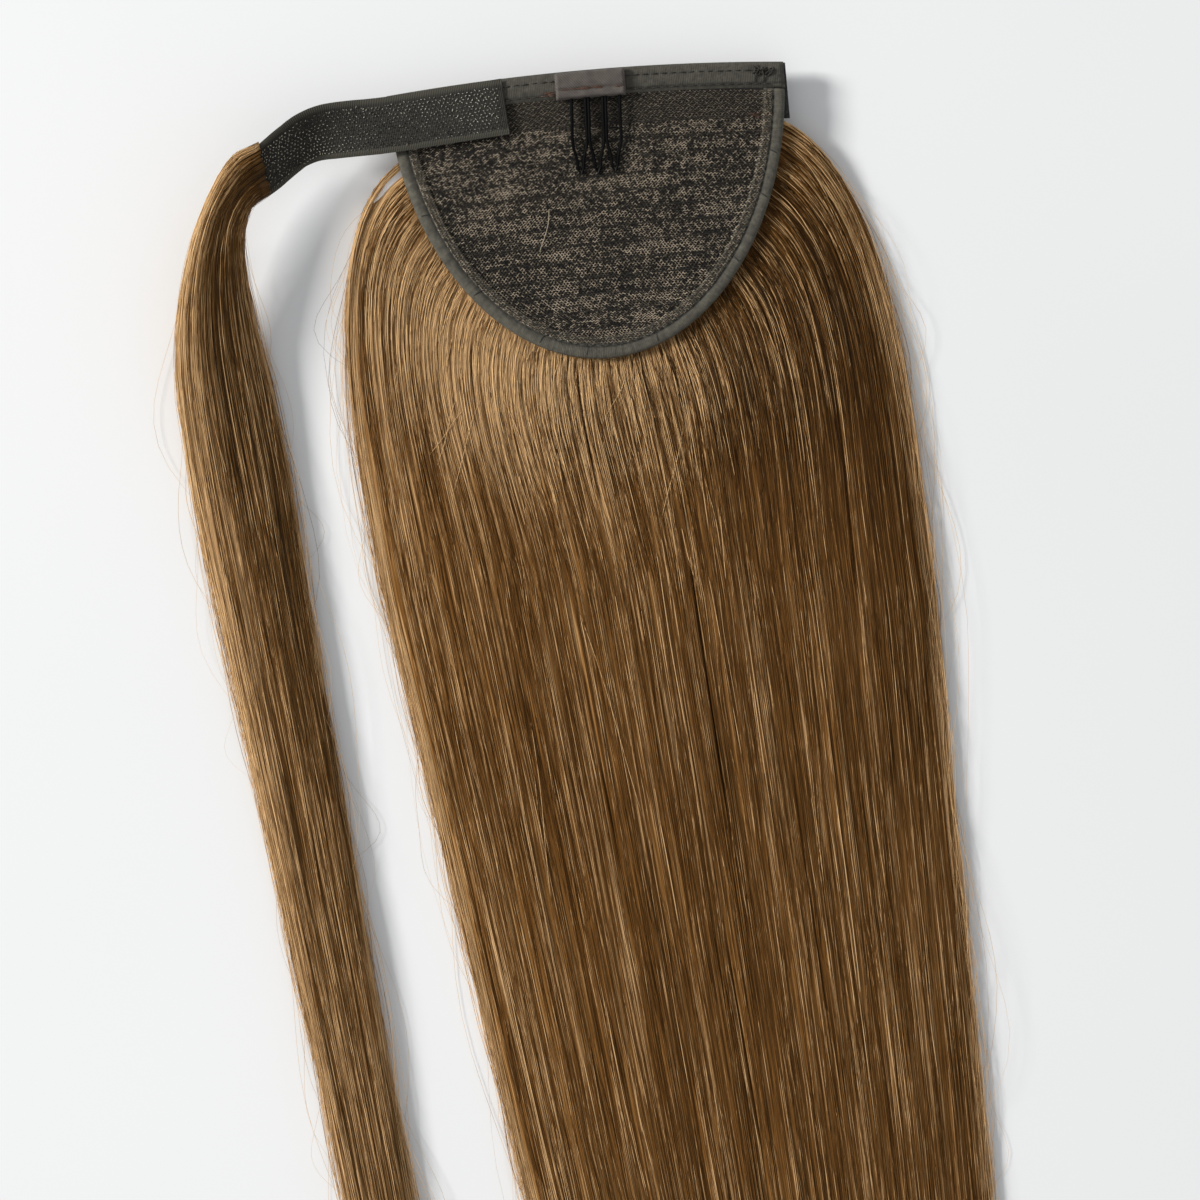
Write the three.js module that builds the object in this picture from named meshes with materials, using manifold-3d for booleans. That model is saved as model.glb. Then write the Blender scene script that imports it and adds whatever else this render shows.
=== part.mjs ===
// A wrap-around ponytail hairpiece, lying flat with the inner face of its base upwards. A half-oval net,
// bound with tape, carries rows of sewn hair on its lower face. A wire comb is held to its straight edge by
// a cloth tab, and a hook strap sewn to one corner carries the lock that is wound round the finished tail.
//
// Millimetres. Seen from above, X runs to the right and Y up the table, and Z is the height above the table.
// The base has a frame of its own, turned on the table: u runs along its straight edge from the middle of
// that edge, and v from the straight edge towards the foot of the curve.
import * as THREE from "three";
import { mergeVertices } from "three/addons/utils/BufferGeometryUtils.js";
import Module from "manifold-3d";

const wasm = await Module();
wasm.setup();

// The base
const BASE_HALF_WIDTH = 71; // half of the straight edge
const BASE_DEPTH = 100; // from the ends of the straight edge to the foot of the curve
const BASE_TURN = 5; // degrees that the base lies turned on the table
const BASE_BOW = 3; // how far the middle of the straight edge stands out from the line between its ends
const BASE_EDGE_HEIGHT = 11; // from the table to the middle of the net, at its edge
const BASE_DOME = 1.6; // how much higher the middle of the straight edge is
const NET_THICK = 1;
const CLOTH_GAP = 0.3; // between one layer and the next

// The tapes that bind the net's edge, each folded round it
const TAPE_THICK = 1;
const EDGE_TAPE_WIDTH = 7.5;
const TOP_TAPE_WIDTH = 9.3;

// The rows of hair sewn to the net's lower face
const WEFT_ROWS = 13;
const FIRST_WEFT = 16; // from the straight edge to the first row
const LAST_WEFT = 13.5; // from the foot of the curve to the last row
const WEFT_WIDTH = 3;
const WEFT_THICK = 1;
const WEFT_END_GAP = 1.2; // from a row's end to the edge tape

// The loop tape that the hook strap closes on, on the lower face at one end of the straight edge
const LOOP_TAPE_LENGTH = 62;
const LOOP_TAPE_WIDTH = 20;
const LOOP_TAPE_THICK = 1.2;
const LOOP_TAPE_OVERHANG = 1.8; // past the end of the straight edge

// The wire comb and its cloth tab
const WIRE_THICK = 1.25;
const COMB_TEETH = 3;
const TOOTH_PITCH = 6.1;
const TOOTH_MOUTH = 5; // between a tooth's two legs, at the top
const TOOTH_TIP = 1.5; // between them at the tip
const TOOTH_LENGTH = 26.8; // from the tab's hem to the tip
const COMB_ASIDE = 1.7; // from the tab's middle to the comb's, to the right
const COMB_LEAN = 3; // degrees that the teeth lean to the left of the base's own downward line
const TAB_PLACE = 1.7; // u of the tab's middle
const TAB_WIDTH = 25;
const TAB_DEPTH = 9.4;
const TAB_INSET = 0.6; // from the straight edge to the tab
const TAB_THICK = 1;
const RAIL_PLACE = 4; // from the tab's upper side to the comb's rail

// The hook strap
const STRAP_LENGTH = 92;
const STRAP_WIDTH = 20;
const STRAP_THICK = 1.2;
const STRAP_START = -29; // u of the sewn end
const STRAP_END_HEIGHT = 19; // from the table to the middle of the free end

// The fall: the hair that leaves the net round its curved edge
const FALL_LENGTH = 505; // from the straight edge to the tips
const FALL_WIDTH = 198; // at its widest
const FALL_HEIGHT = 13.5; // at its thickest
const FALL_EDGE = 2; // thickness at its two sides
const FALL_LOCKS = 18;
const FALL_TIP_THICK = 0.8;
const FURROW_DEPTH = 1.1; // between one lock and the next
const FIRST_ROOT_ANGLE = -76; // degrees round the half oval, from the foot of the curve
const LAST_ROOT_ANGLE = 78;
const ROOT_LINE = 22.5; // v where the hair's body begins under the net

// The lock on the strap's end
const LOCK_LENGTH = 482;
const LOCK_WIDTH = 35;
const LOCK_HEIGHT = 10;
const LOCK_STRANDS = 6;
const LOCK_FURROW = 0.8;
const LOCK_EDGE = 0.6; // thickness at its two sides

// The strap's run from its sewn end. at is a share of STRAP_LENGTH. heading is in degrees below the level,
// to the left, and roll in degrees, the near side down. skew is how many degrees its section is turned from
// square to the run, the near side forwards. settle is a share of the way from the sewn end's height to the
// free end's.
const STRAP_RUN = [
  { at: 0, heading: 9, roll: 0, skew: 0, settle: 0 },
  { at: 0.42, heading: 9, roll: 0, skew: 0, settle: 0 },
  { at: 0.56, heading: 5, roll: 3, skew: 0, settle: 0.02 },
  { at: 0.68, heading: 8, roll: 14, skew: 0, settle: 0.1 },
  { at: 0.76, heading: 22, roll: 29, skew: 0, settle: 0.25 },
  { at: 0.84, heading: 38, roll: 40, skew: 6, settle: 0.5 },
  { at: 0.92, heading: 43, roll: 38, skew: 18, settle: 0.78 },
  { at: 1, heading: 36, roll: 28, skew: 28, settle: 1 },
];

// The fall's middle and width at three places. down is a share of FALL_LENGTH, from the straight edge.
// middle and width are shares of FALL_WIDTH, and lean is the sideways run of the hair for each step down.
const FALL_GATHER = { down: 0.3677, middle: 0.1366, width: 1, leanLeft: 0.19, leanRight: 0.15 };
const FALL_TIPS = { down: 1, middle: 0.4006, width: 0.743 };

// The fall's thickness along its hair. at is a share of the way from the root line to the tips, and rise a
// share of FALL_HEIGHT.
const FALL_RISE = [
  { at: 0, rise: 0.66 },
  { at: 0.1, rise: 0.67 },
  { at: 0.17, rise: 0.8 },
  { at: 0.26, rise: 0.95 },
  { at: 0.36, rise: 1 },
  { at: 0.5, rise: 0.95 },
  { at: 0.65, rise: 0.85 },
  { at: 0.8, rise: 0.7 },
  { at: 0.93, rise: 0.42 },
  { at: 1, rise: 0.1 },
];

// The lock's run from the strap's end. at, width and height are shares of LOCK_LENGTH, LOCK_WIDTH and
// LOCK_HEIGHT. heading and skew are as the strap's. lift is a share of STRAP_END_HEIGHT that its underside
// has, and bank is how much higher it lies for each millimetre towards its far side.
const LOCK_RUN = [
  { at: 0, heading: 36, skew: 28, width: 0.52, height: 0.55, lift: 0.82, bank: 0.5 },
  { at: 0.022, heading: 51, skew: 24, width: 0.54, height: 0.72, lift: 0.82, bank: 0.5 },
  { at: 0.05, heading: 77, skew: 16, width: 0.56, height: 0.85, lift: 0.76, bank: 0.5 },
  { at: 0.075, heading: 84, skew: 6, width: 0.62, height: 0.95, lift: 0.66, bank: 0.5 },
  { at: 0.12, heading: 93, skew: 0, width: 0.82, height: 1, lift: 0.44, bank: 0.42 },
  { at: 0.17, heading: 99, skew: 0, width: 0.97, height: 1, lift: 0.23, bank: 0.22 },
  { at: 0.24, heading: 100, skew: 0, width: 1, height: 0.96, lift: 0.04, bank: 0.07 },
  { at: 0.34, heading: 101, skew: 0, width: 0.93, height: 0.9, lift: 0, bank: 0 },
  { at: 0.5, heading: 101, skew: 0, width: 0.83, height: 0.82, lift: 0, bank: 0 },
  { at: 0.68, heading: 101, skew: 0, width: 0.72, height: 0.74, lift: 0, bank: 0 },
  { at: 0.84, heading: 101, skew: 0, width: 0.66, height: 0.6, lift: 0, bank: 0 },
  { at: 0.94, heading: 100, skew: 0, width: 0.56, height: 0.38, lift: 0, bank: 0 },
  { at: 1, heading: 100, skew: 0, width: 0.4, height: 0.08, lift: 0, bank: 0 },
];

const FOLD_REACH = NET_THICK / 2 + CLOTH_GAP + TAPE_THICK; // from the net's middle to a tape's outer face
const BELOW_WEFTS = NET_THICK / 2 + 2 * CLOTH_GAP + Math.max(TAPE_THICK, WEFT_THICK);
const rad = THREE.MathUtils.degToRad;
const lerp = THREE.MathUtils.lerp;

const cloth = (color, roughness) => new THREE.MeshStandardMaterial({ color, roughness, metalness: 0 });
const HAIR = cloth(0x6e4c29, 0.45);
const NET = cloth(0x453d33, 0.95);
const TAPE = cloth(0x4b4942, 0.85);
const TAB = cloth(0x5d554e, 0.9);
const HOOKS = cloth(0x46433a, 0.8);
const LOOPS = cloth(0x2c2a27, 0.95);
const WIRE = new THREE.MeshStandardMaterial({ color: 0x101010, roughness: 0.3, metalness: 0.4 });

// A value read from a table of stations, straight from one to the next.
function read(table, at, column) {
  const next = table.findIndex((row) => row.at >= at);
  if (next <= 0) return table[next < 0 ? table.length - 1 : 0][column];
  const [a, b] = [table[next - 1], table[next]];
  return lerp(a[column], b[column], (at - a.at) / (b.at - a.at));
}

// A closed geometry from triangles of points: shared points merged, slivers dropped, faces outwards.
function closed(triangles) {
  const raw = new THREE.BufferGeometry();
  raw.setFromPoints(triangles.flat());
  const merged = mergeVertices(raw, 1e-3);
  const index = merged.index.array;
  const point = (k) => new THREE.Vector3().fromBufferAttribute(merged.attributes.position, k);
  const kept = [];
  let volume = 0;
  for (let i = 0; i < index.length; i += 3) {
    const [a, b, c] = [index[i], index[i + 1], index[i + 2]];
    if (a === b || b === c || c === a) continue;
    kept.push([a, b, c]);
    volume += point(a).dot(point(b).cross(point(c)));
  }
  merged.setIndex(kept.flatMap(([a, b, c]) => (volume < 0 ? [a, c, b] : [a, b, c])));
  merged.computeVertexNormals();
  return merged;
}

const quad = (a, b, c, d) => [[a, b, c], [a, c, d]];

// A body between an upper and a lower grid of points, each a list of rows from left to right.
function slab(upper, lower) {
  const faces = [];
  const [rows, columns] = [upper.length, upper[0].length];
  for (let i = 0; i + 1 < rows; i++) {
    for (let j = 0; j + 1 < columns; j++) {
      faces.push(...quad(upper[i][j], upper[i + 1][j], upper[i + 1][j + 1], upper[i][j + 1]));
      faces.push(...quad(lower[i][j], lower[i][j + 1], lower[i + 1][j + 1], lower[i + 1][j]));
    }
    const right = columns - 1;
    faces.push(...quad(upper[i][0], lower[i][0], lower[i + 1][0], upper[i + 1][0]));
    faces.push(...quad(upper[i][right], upper[i + 1][right], lower[i + 1][right], lower[i][right]));
  }
  for (let j = 0; j + 1 < columns; j++) {
    const last = rows - 1;
    faces.push(...quad(upper[0][j], upper[0][j + 1], lower[0][j + 1], lower[0][j]));
    faces.push(...quad(upper[last][j], lower[last][j], lower[last][j + 1], upper[last][j + 1]));
  }
  return closed(faces);
}

// A body through rings of points that all follow one flat section, drawn anticlockwise. Both ends are capped.
function loft(rings, section) {
  const faces = [];
  const sides = section.length;
  for (let i = 0; i + 1 < rings.length; i++)
    for (let k = 0; k < sides; k++) {
      const next = (k + 1) % sides;
      faces.push(...quad(rings[i][k], rings[i + 1][k], rings[i + 1][next], rings[i][next]));
    }
  const [first, last] = [rings[0], rings[rings.length - 1]];
  for (const [a, b, c] of THREE.ShapeUtils.triangulateShape(section, [])) {
    faces.push([first[a], first[b], first[c]], [last[a], last[c], last[b]]);
  }
  return closed(faces);
}

// A geometry as a solid that can be cut and joined, and the way back.
function solid(geometry) {
  const bare = new THREE.BufferGeometry();
  bare.setAttribute("position", geometry.attributes.position);
  if (geometry.index) bare.setIndex(geometry.index);
  const merged = mergeVertices(bare, 1e-3);
  return new wasm.Manifold(
    new wasm.Mesh({
      numProp: 3,
      vertProperties: merged.attributes.position.array,
      triVerts: new Uint32Array(merged.index.array),
    }),
  );
}

function geometryOf(body) {
  const mesh = body.getMesh();
  const geometry = new THREE.BufferGeometry();
  geometry.setAttribute("position", new THREE.BufferAttribute(mesh.vertProperties, 3));
  geometry.setIndex(new THREE.BufferAttribute(mesh.triVerts, 1));
  geometry.computeVertexNormals();
  return geometry;
}

// How high the middle of the net lies over the table at u, v.
function netHeight(u, v) {
  const r2 = (u / BASE_HALF_WIDTH) ** 2 + (v / BASE_DEPTH) ** 2;
  return BASE_EDGE_HEIGHT + BASE_DOME * (1 - Math.min(1, r2));
}

// How far the base is bowed out at u, v: most in the middle of its straight edge, and not at its foot.
const bow = (u, v) => BASE_BOW * (1 - (u / BASE_HALF_WIDTH) ** 2) * (1 - v / BASE_DEPTH);

// A point of the base in its own frame, offset up or down from the middle of the net.
const onNet = (u, v, offset) => new THREE.Vector3(u, bow(u, v) - v, netHeight(u, v) + offset);

// The base's frame turned onto the table, for a direction and for a place.
const turned = (x, y) => new THREE.Vector2(x, y).rotateAround(new THREE.Vector2(), rad(BASE_TURN));
const onTable = (u, v) => turned(u, bow(u, v) - v);

// The half oval's edge at an angle from the foot of the curve, moved inwards along its normal.
function ovalPoint(angle, inset) {
  const normal = new THREE.Vector2(Math.sin(angle) / BASE_HALF_WIDTH, Math.cos(angle) / BASE_DEPTH);
  normal.normalize();
  return {
    u: BASE_HALF_WIDTH * Math.sin(angle) - inset * normal.x,
    v: BASE_DEPTH * Math.cos(angle) - inset * normal.y,
    normal,
  };
}

// The angle at which the half oval, moved inwards, comes up to v.
function angleWhere(v, inset) {
  let [foot, side] = [0, Math.PI / 2];
  while (side - foot > 1e-6) {
    const middle = (foot + side) / 2;
    if (ovalPoint(middle, inset).v > v) foot = middle;
    else side = middle;
  }
  return foot;
}

// The net: a half oval sheet, with its edge inside the fold of the tapes.
function netSheet() {
  const inset = TAPE_THICK + CLOTH_GAP;
  const end = Math.acos(inset / BASE_DEPTH);
  const [spokes, steps] = [30, 5];
  const face = (offset) =>
    Array.from({ length: steps + 1 }, (_, i) =>
      Array.from({ length: spokes + 1 }, (_, j) => {
        const rim = ovalPoint(lerp(-end, end, j / spokes), inset);
        return onNet((rim.u * i) / steps, lerp(inset, rim.v, i / steps), offset);
      }),
    );
  return slab(face(NET_THICK / 2), face(-NET_THICK / 2));
}

// The section of a tape folded round the net's edge: x is the way in from the fold, y the way up.
function foldSection(width) {
  const slot = NET_THICK / 2 + CLOTH_GAP;
  return [
    [0, FOLD_REACH], [0, -FOLD_REACH], [width, -FOLD_REACH], [width, -slot],
    [TAPE_THICK, -slot], [TAPE_THICK, slot], [width, slot], [width, FOLD_REACH],
  ].map(([x, y]) => new THREE.Vector2(x, y));
}

// The tape round the curved edge, from one end of the top tape to the other.
function edgeTape() {
  const section = foldSection(EDGE_TAPE_WIDTH);
  const end = Math.acos((TOP_TAPE_WIDTH + 2 * CLOTH_GAP) / BASE_DEPTH);
  const steps = 34;
  const rings = Array.from({ length: steps + 1 }, (_, i) => {
    const angle = lerp(-end, end, i / steps);
    return section.map((corner) => {
      const { u, v } = ovalPoint(angle, corner.x);
      return onNet(u, v, corner.y);
    });
  });
  return loft(rings, section);
}

// The tape along the straight edge: folded over it, with its two ends sewn shut.
function topTape() {
  const block = (halfLength, from, to, reach) => {
    const steps = 10;
    const face = (offset) =>
      [from, to].map((v) =>
        Array.from({ length: steps + 1 }, (_, j) => {
          const u = lerp(-halfLength, halfLength, j / steps);
          return new THREE.Vector3(u, bow(u, v) - v, netHeight(u, 0) + offset);
        }),
      );
    return slab(face(reach), face(-reach));
  };
  const whole = block(BASE_HALF_WIDTH, 0, TOP_TAPE_WIDTH, FOLD_REACH);
  const slot = block(
    BASE_HALF_WIDTH - TAPE_THICK, TAPE_THICK, TOP_TAPE_WIDTH + TAPE_THICK, NET_THICK / 2 + CLOTH_GAP,
  );
  return geometryOf(solid(whole).subtract(solid(slot)));
}

// A strip laid along u under or over the net.
function strip(from, to, near, far, top, bottom, steps) {
  const face = (offset) =>
    [near, far].map((v) =>
      Array.from({ length: steps + 1 }, (_, j) => onNet(lerp(from, to, j / steps), v, offset)),
    );
  return slab(face(top), face(bottom));
}

// One sewn row of hair: a strip on the net's lower face, as long as the net is wide there.
function weftRow(v) {
  const far = v + WEFT_WIDTH;
  const inset = EDGE_TAPE_WIDTH + WEFT_END_GAP;
  const half = ovalPoint(angleWhere(far, inset), inset).u;
  const top = -(NET_THICK / 2 + CLOTH_GAP);
  return strip(-half, half, v, far, top, top - WEFT_THICK, 8);
}

function loopTape() {
  const end = BASE_HALF_WIDTH + LOOP_TAPE_OVERHANG;
  const top = -(FOLD_REACH + CLOTH_GAP);
  return strip(end - LOOP_TAPE_LENGTH, end, 0, LOOP_TAPE_WIDTH, top, top - LOOP_TAPE_THICK, 6);
}

// The tab: a strip of cloth over the comb's rail, sewn down at three sides and open at its hem.
function combTab() {
  const bottom = FOLD_REACH + CLOTH_GAP;
  const ceiling = bottom + WIRE_THICK + CLOTH_GAP;
  const half = TAB_WIDTH / 2;
  const [near, far] = [TAB_INSET, TAB_INSET + TAB_DEPTH];
  const whole = strip(TAB_PLACE - half, TAB_PLACE + half, near, far, ceiling + TAB_THICK, bottom, 4);
  const inner = half - TAB_THICK;
  const pocket = strip(
    TAB_PLACE - inner, TAB_PLACE + inner, near + TAB_THICK, far + TAB_THICK, ceiling,
    bottom - TAB_THICK, 4,
  );
  return geometryOf(solid(whole).subtract(solid(pocket)));
}

// A round wire along a curve.
function wire(curve, steps) {
  const section = new THREE.Shape();
  section.absarc(0, 0, WIRE_THICK / 2, 0, 2 * Math.PI);
  const options = { steps, extrudePath: curve, curveSegments: 5, bevelEnabled: false };
  return solid(new THREE.ExtrudeGeometry(section, options));
}

// The comb: a rail under the tab, and teeth that are each one wire bent to a narrow loop.
function comb() {
  const railV = TAB_INSET + RAIL_PLACE;
  const hem = TAB_INSET + TAB_DEPTH;
  const over = FOLD_REACH + CLOTH_GAP + WIRE_THICK / 2;
  const tipOver = NET_THICK / 2 + CLOTH_GAP + WIRE_THICK / 2;
  const point = (u, v) => {
    const share = Math.max(0, (v - hem) / TOOTH_LENGTH);
    const aside = COMB_ASIDE - (v - railV) * Math.tan(rad(COMB_LEAN));
    return onNet(TAB_PLACE + aside + u, v, lerp(over, tipOver, share * share));
  };
  const [mouth, tip] = [TOOTH_MOUTH / 2, TOOTH_TIP / 2];
  const end = hem + TOOTH_LENGTH - WIRE_THICK / 2;
  const leg = [
    { u: mouth, v: railV },
    { u: mouth, v: lerp(hem, end, 0.3) },
    { u: mouth, v: lerp(hem, end, 0.6) },
    { u: lerp(mouth, tip, 0.75), v: lerp(hem, end, 0.8) },
    { u: tip, v: end - tip },
  ];
  const half = ((COMB_TEETH - 1) * TOOTH_PITCH + TOOTH_MOUTH) / 2 + WIRE_THICK / 2;
  const rail = new THREE.LineCurve3(point(-half, railV), point(half, railV));
  let body = wire(rail, 1);
  for (let i = 0; i < COMB_TEETH; i++) {
    const place = (i - (COMB_TEETH - 1) / 2) * TOOTH_PITCH;
    const down = leg.map(({ u, v }) => point(place - u, v));
    const up = leg.map(({ u, v }) => point(place + u, v)).reverse();
    const bend = new THREE.CatmullRomCurve3([...down, point(place, end), ...up], false, "centripetal");
    body = body.add(wire(bend, 26));
  }
  return geometryOf(body);
}

// The middle line of something that runs over the table: its place, heading and share at each step.
function run(start, length, table, steps) {
  const line = [{ place: start.clone(), heading: rad(table[0].heading), at: 0 }];
  for (let i = 1; i <= steps; i++) {
    const before = line[i - 1];
    const middle = rad(read(table, (i - 0.5) / steps, "heading"));
    const stride = new THREE.Vector2(-Math.cos(middle), -Math.sin(middle)).multiplyScalar(length / steps);
    const heading = rad(read(table, i / steps, "heading"));
    line.push({ place: before.place.clone().add(stride), heading, at: i / steps });
  }
  return line;
}

// The way across a run, to its left.
const across = (heading) => new THREE.Vector2(-Math.sin(heading), Math.cos(heading));

// The strap's middle line. Its sewn end has its upper side on the base's straight edge.
const strapLine = run(onTable(STRAP_START, STRAP_WIDTH / 2), STRAP_LENGTH, STRAP_RUN, 24);

// The height of the strap's middle line: level over the top tape, and then on to the free end.
const strapLevel = netHeight(STRAP_START, 0) + FOLD_REACH + CLOTH_GAP + STRAP_THICK / 2;
const strapHeight = (at) => lerp(strapLevel, STRAP_END_HEIGHT, read(STRAP_RUN, at, "settle"));

function hookStrap() {
  const [half, thick] = [STRAP_WIDTH / 2, STRAP_THICK / 2];
  const section = [[-half, -thick], [half, -thick], [half, thick], [-half, thick]];
  const outline = section.map(([x, y]) => new THREE.Vector2(x, y));
  const rings = strapLine.map((step) => {
    const roll = rad(read(STRAP_RUN, step.at, "roll"));
    const side = across(step.heading - rad(read(STRAP_RUN, step.at, "skew")));
    return outline.map(({ x, y }) => {
      const sideways = x * Math.cos(roll) - y * Math.sin(roll);
      const height = strapHeight(step.at) + x * Math.sin(roll) + y * Math.cos(roll);
      const place = step.place.clone().addScaledVector(side, sideways);
      return new THREE.Vector3(place.x, place.y, height);
    });
  });
  return loft(rings, outline);
}

// How deep in a furrow the hair is: 0 on the crown of a lock, 1 between two locks.
const furrow = (share, locks) => Math.abs(Math.cos(Math.PI * share * locks)) ** 2;

// How much shorter one lock's tip is than the longest, in shares of the whole length.
const shortfall = (share, locks) => 0.035 * (0.5 + 0.5 * Math.sin(2.4 * Math.floor(share * locks)));

// The shares of the way along a hair that the rows of a body lie at, after its furrows have been cut back.
function reach(at, share, locks) {
  const cut = 0.06 * furrow(share, locks) + shortfall(Math.min(share, 1 - 1e-6), locks);
  return at - cut * at ** 8;
}

const hairRows = (shares, columns, point) =>
  shares.map((at) => Array.from({ length: columns + 1 }, (_, j) => point(at, j / columns)));

// Where a hair of the fall is on the table. share is its place from the left root to the right one.
function fallPlace(at, share) {
  const under = 0.1;
  const gathered = 0.42;
  const angle = rad(lerp(FIRST_ROOT_ANGLE, LAST_ROOT_ANGLE, share));
  const edge = ovalPoint(angle, 0);
  const root = onTable(edge.u, edge.v);
  if (at <= under) {
    const rootHalf = BASE_HALF_WIDTH * Math.sin(rad(Math.min(-FIRST_ROOT_ANGLE, LAST_ROOT_ANGLE))) * 0.9;
    return onTable(lerp(-rootHalf, rootHalf, share), ROOT_LINE).lerp(root, at / under);
  }
  const gather = new THREE.Vector2(
    FALL_WIDTH * (FALL_GATHER.middle + FALL_GATHER.width * (share - 0.5)),
    -FALL_LENGTH * FALL_GATHER.down,
  );
  const lean = lerp(FALL_GATHER.leanLeft, FALL_GATHER.leanRight, share);
  const along = new THREE.Vector2(lean, -1).normalize();
  if (at >= gathered) {
    const tip = new THREE.Vector2(
      FALL_WIDTH * (FALL_TIPS.middle + FALL_TIPS.width * (share - 0.5)),
      -FALL_LENGTH * FALL_TIPS.down,
    );
    const reached = (at - gathered) / (1 - gathered);
    const straight = gather.clone().lerp(tip, reached);
    const bent = gather.clone().addScaledVector(along, reached * gather.distanceTo(tip));
    return straight.lerp(bent, reached * (1 - reached) * 0.5);
  }
  const outward = turned(edge.normal.x, -edge.normal.y).add(new THREE.Vector2(0, -0.4)).normalize();
  const span = root.distanceTo(gather);
  const curve = new THREE.CubicBezierCurve(
    root,
    root.clone().addScaledVector(outward, 0.25 * span),
    gather.clone().addScaledVector(along, -0.38 * span),
    gather,
  );
  return curve.getPoint((at - under) / (gathered - under));
}

// The fall: under the net it fills the space down to the table, and past the tape it swells and thins out.
function hairFall() {
  const shares = [0, 0.05, 0.1, 0.125, 0.165, 0.22, 0.3, 0.42, 0.54, 0.66, 0.78, 0.88, 0.94, 0.97, 1];
  const columns = 4 * FALL_LOCKS;
  const underNet = BASE_EDGE_HEIGHT - BELOW_WEFTS;
  const point = (upper) => (row, share) => {
    const at = reach(row, share, FALL_LOCKS);
    const place = fallPlace(at, share);
    if (!upper) return new THREE.Vector3(place.x, place.y, row === 0 ? BASE_EDGE_HEIGHT / 4 : 0);
    const side = Math.abs(2 * share - 1);
    const round = (1 - side ** 2.2) ** 0.6;
    const open = THREE.MathUtils.smoothstep(row, 0.1, 0.2);
    const rise = FALL_HEIGHT * read(FALL_RISE, row, "rise");
    const edge = Math.min(FALL_EDGE, rise);
    const loose = lerp(edge, Math.max(rise, edge), round);
    const cut = FURROW_DEPTH * furrow(share, FALL_LOCKS) * open * round;
    const own = place.clone().rotateAround(new THREE.Vector2(), -rad(BASE_TURN));
    const covered = row > 0.1 ? underNet : netHeight(own.x, -own.y) - BELOW_WEFTS;
    const height = Math.max(lerp(covered, loose - cut, open), FALL_TIP_THICK);
    return new THREE.Vector3(place.x, place.y, height);
  };
  return slab(hairRows(shares, columns, point(true)), hairRows(shares, columns, point(false)));
}

// The lock: its root stands against the strap's end, and it comes down to the table in a bend.
function wrapLock() {
  const end = strapLine[strapLine.length - 1];
  const forward = new THREE.Vector2(-Math.cos(end.heading), -Math.sin(end.heading));
  const apart = CLOTH_GAP / Math.cos(rad(read(LOCK_RUN, 0, "skew")));
  const start = end.place.clone().addScaledVector(forward, apart);
  const steps = 120;
  const line = run(start, LOCK_LENGTH, LOCK_RUN, steps);
  const placeAt = (at) => line[Math.round(Math.min(1, Math.max(0, at)) * steps)];
  const shares = [0, 0.025, 0.05, 0.075, 0.1, 0.125, 0.175, 0.25, 0.35, 0.5, 0.65, 0.8, 0.9, 0.95, 1];
  const point = (upper) => (row, share) => {
    const step = placeAt(reach(row, share, LOCK_STRANDS));
    const half = (LOCK_WIDTH * read(LOCK_RUN, row, "width")) / 2;
    const sideways = (1 - 2 * share) * half;
    const side = across(step.heading - rad(read(LOCK_RUN, row, "skew")));
    const place = step.place.clone().addScaledVector(side, sideways);
    const under = STRAP_END_HEIGHT * read(LOCK_RUN, row, "lift") + sideways * read(LOCK_RUN, row, "bank");
    const full = LOCK_HEIGHT * read(LOCK_RUN, row, "height");
    const round = Math.sqrt(1 - Math.abs(2 * share - 1) ** 2.6);
    const cut = LOCK_FURROW * furrow(share, LOCK_STRANDS) * Math.min(1, full / LOCK_HEIGHT) * round;
    const middle = under + full * 0.38;
    const over = lerp(middle + LOCK_EDGE / 2, under + full, round) - cut;
    const below = lerp(middle - LOCK_EDGE / 2, under, round);
    return new THREE.Vector3(place.x, place.y, upper ? over : Math.max(0, below));
  };
  const columns = 4 * LOCK_STRANDS;
  return slab(hairRows(shares, columns, point(true)), hairRows(shares, columns, point(false)));
}

function piece(name, geometry, material) {
  const mesh = new THREE.Mesh(geometry, material);
  mesh.name = name;
  return mesh;
}

const base = new THREE.Group();
base.rotation.z = rad(BASE_TURN);
base.add(
  piece("base_net", netSheet(), NET),
  piece("edge_tape", edgeTape(), TAPE),
  piece("top_tape", topTape(), TAPE),
  piece("loop_tape", loopTape(), LOOPS),
  piece("comb_tab", combTab(), TAB),
  piece("wire_comb", comb(), WIRE),
);
for (let i = 0; i < WEFT_ROWS; i++) {
  const name = "weft_row_" + String(i + 1).padStart(2, "0");
  base.add(piece(name, weftRow(lerp(FIRST_WEFT, BASE_DEPTH - LAST_WEFT, i / (WEFT_ROWS - 1))), HAIR));
}

const hairpiece = new THREE.Group();
hairpiece.add(
  base,
  piece("hook_strap", hookStrap(), HOOKS),
  piece("hair_fall", hairFall(), HAIR),
  piece("wrap_lock", wrapLock(), HAIR),
);

// The part's origin is on the table, under the middle of the whole hairpiece.
const box = new THREE.Box3().setFromObject(hairpiece);
const middle = box.getCenter(new THREE.Vector3());
hairpiece.position.set(-middle.x, -middle.y, -box.min.z);

const part = new THREE.Group();
part.add(hairpiece);

export default part;
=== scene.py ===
# A wrap-around ponytail hairpiece, lying flat with the inner face of its base up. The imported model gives
# every size and place. This script dresses it: knitted net, bound edges, stitching, hook tape and hair.
#
# Metres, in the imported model's frame: X to the right and Y up the table as seen from above, Z the height
# over the table. A place on the table is often written as one complex number, x + yj. The base has a frame
# of its own: u runs along its straight edge from the middle, v from that edge to the foot of its curve.
# All that is random is seeded, so each run gives the same hair.
import math

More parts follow.
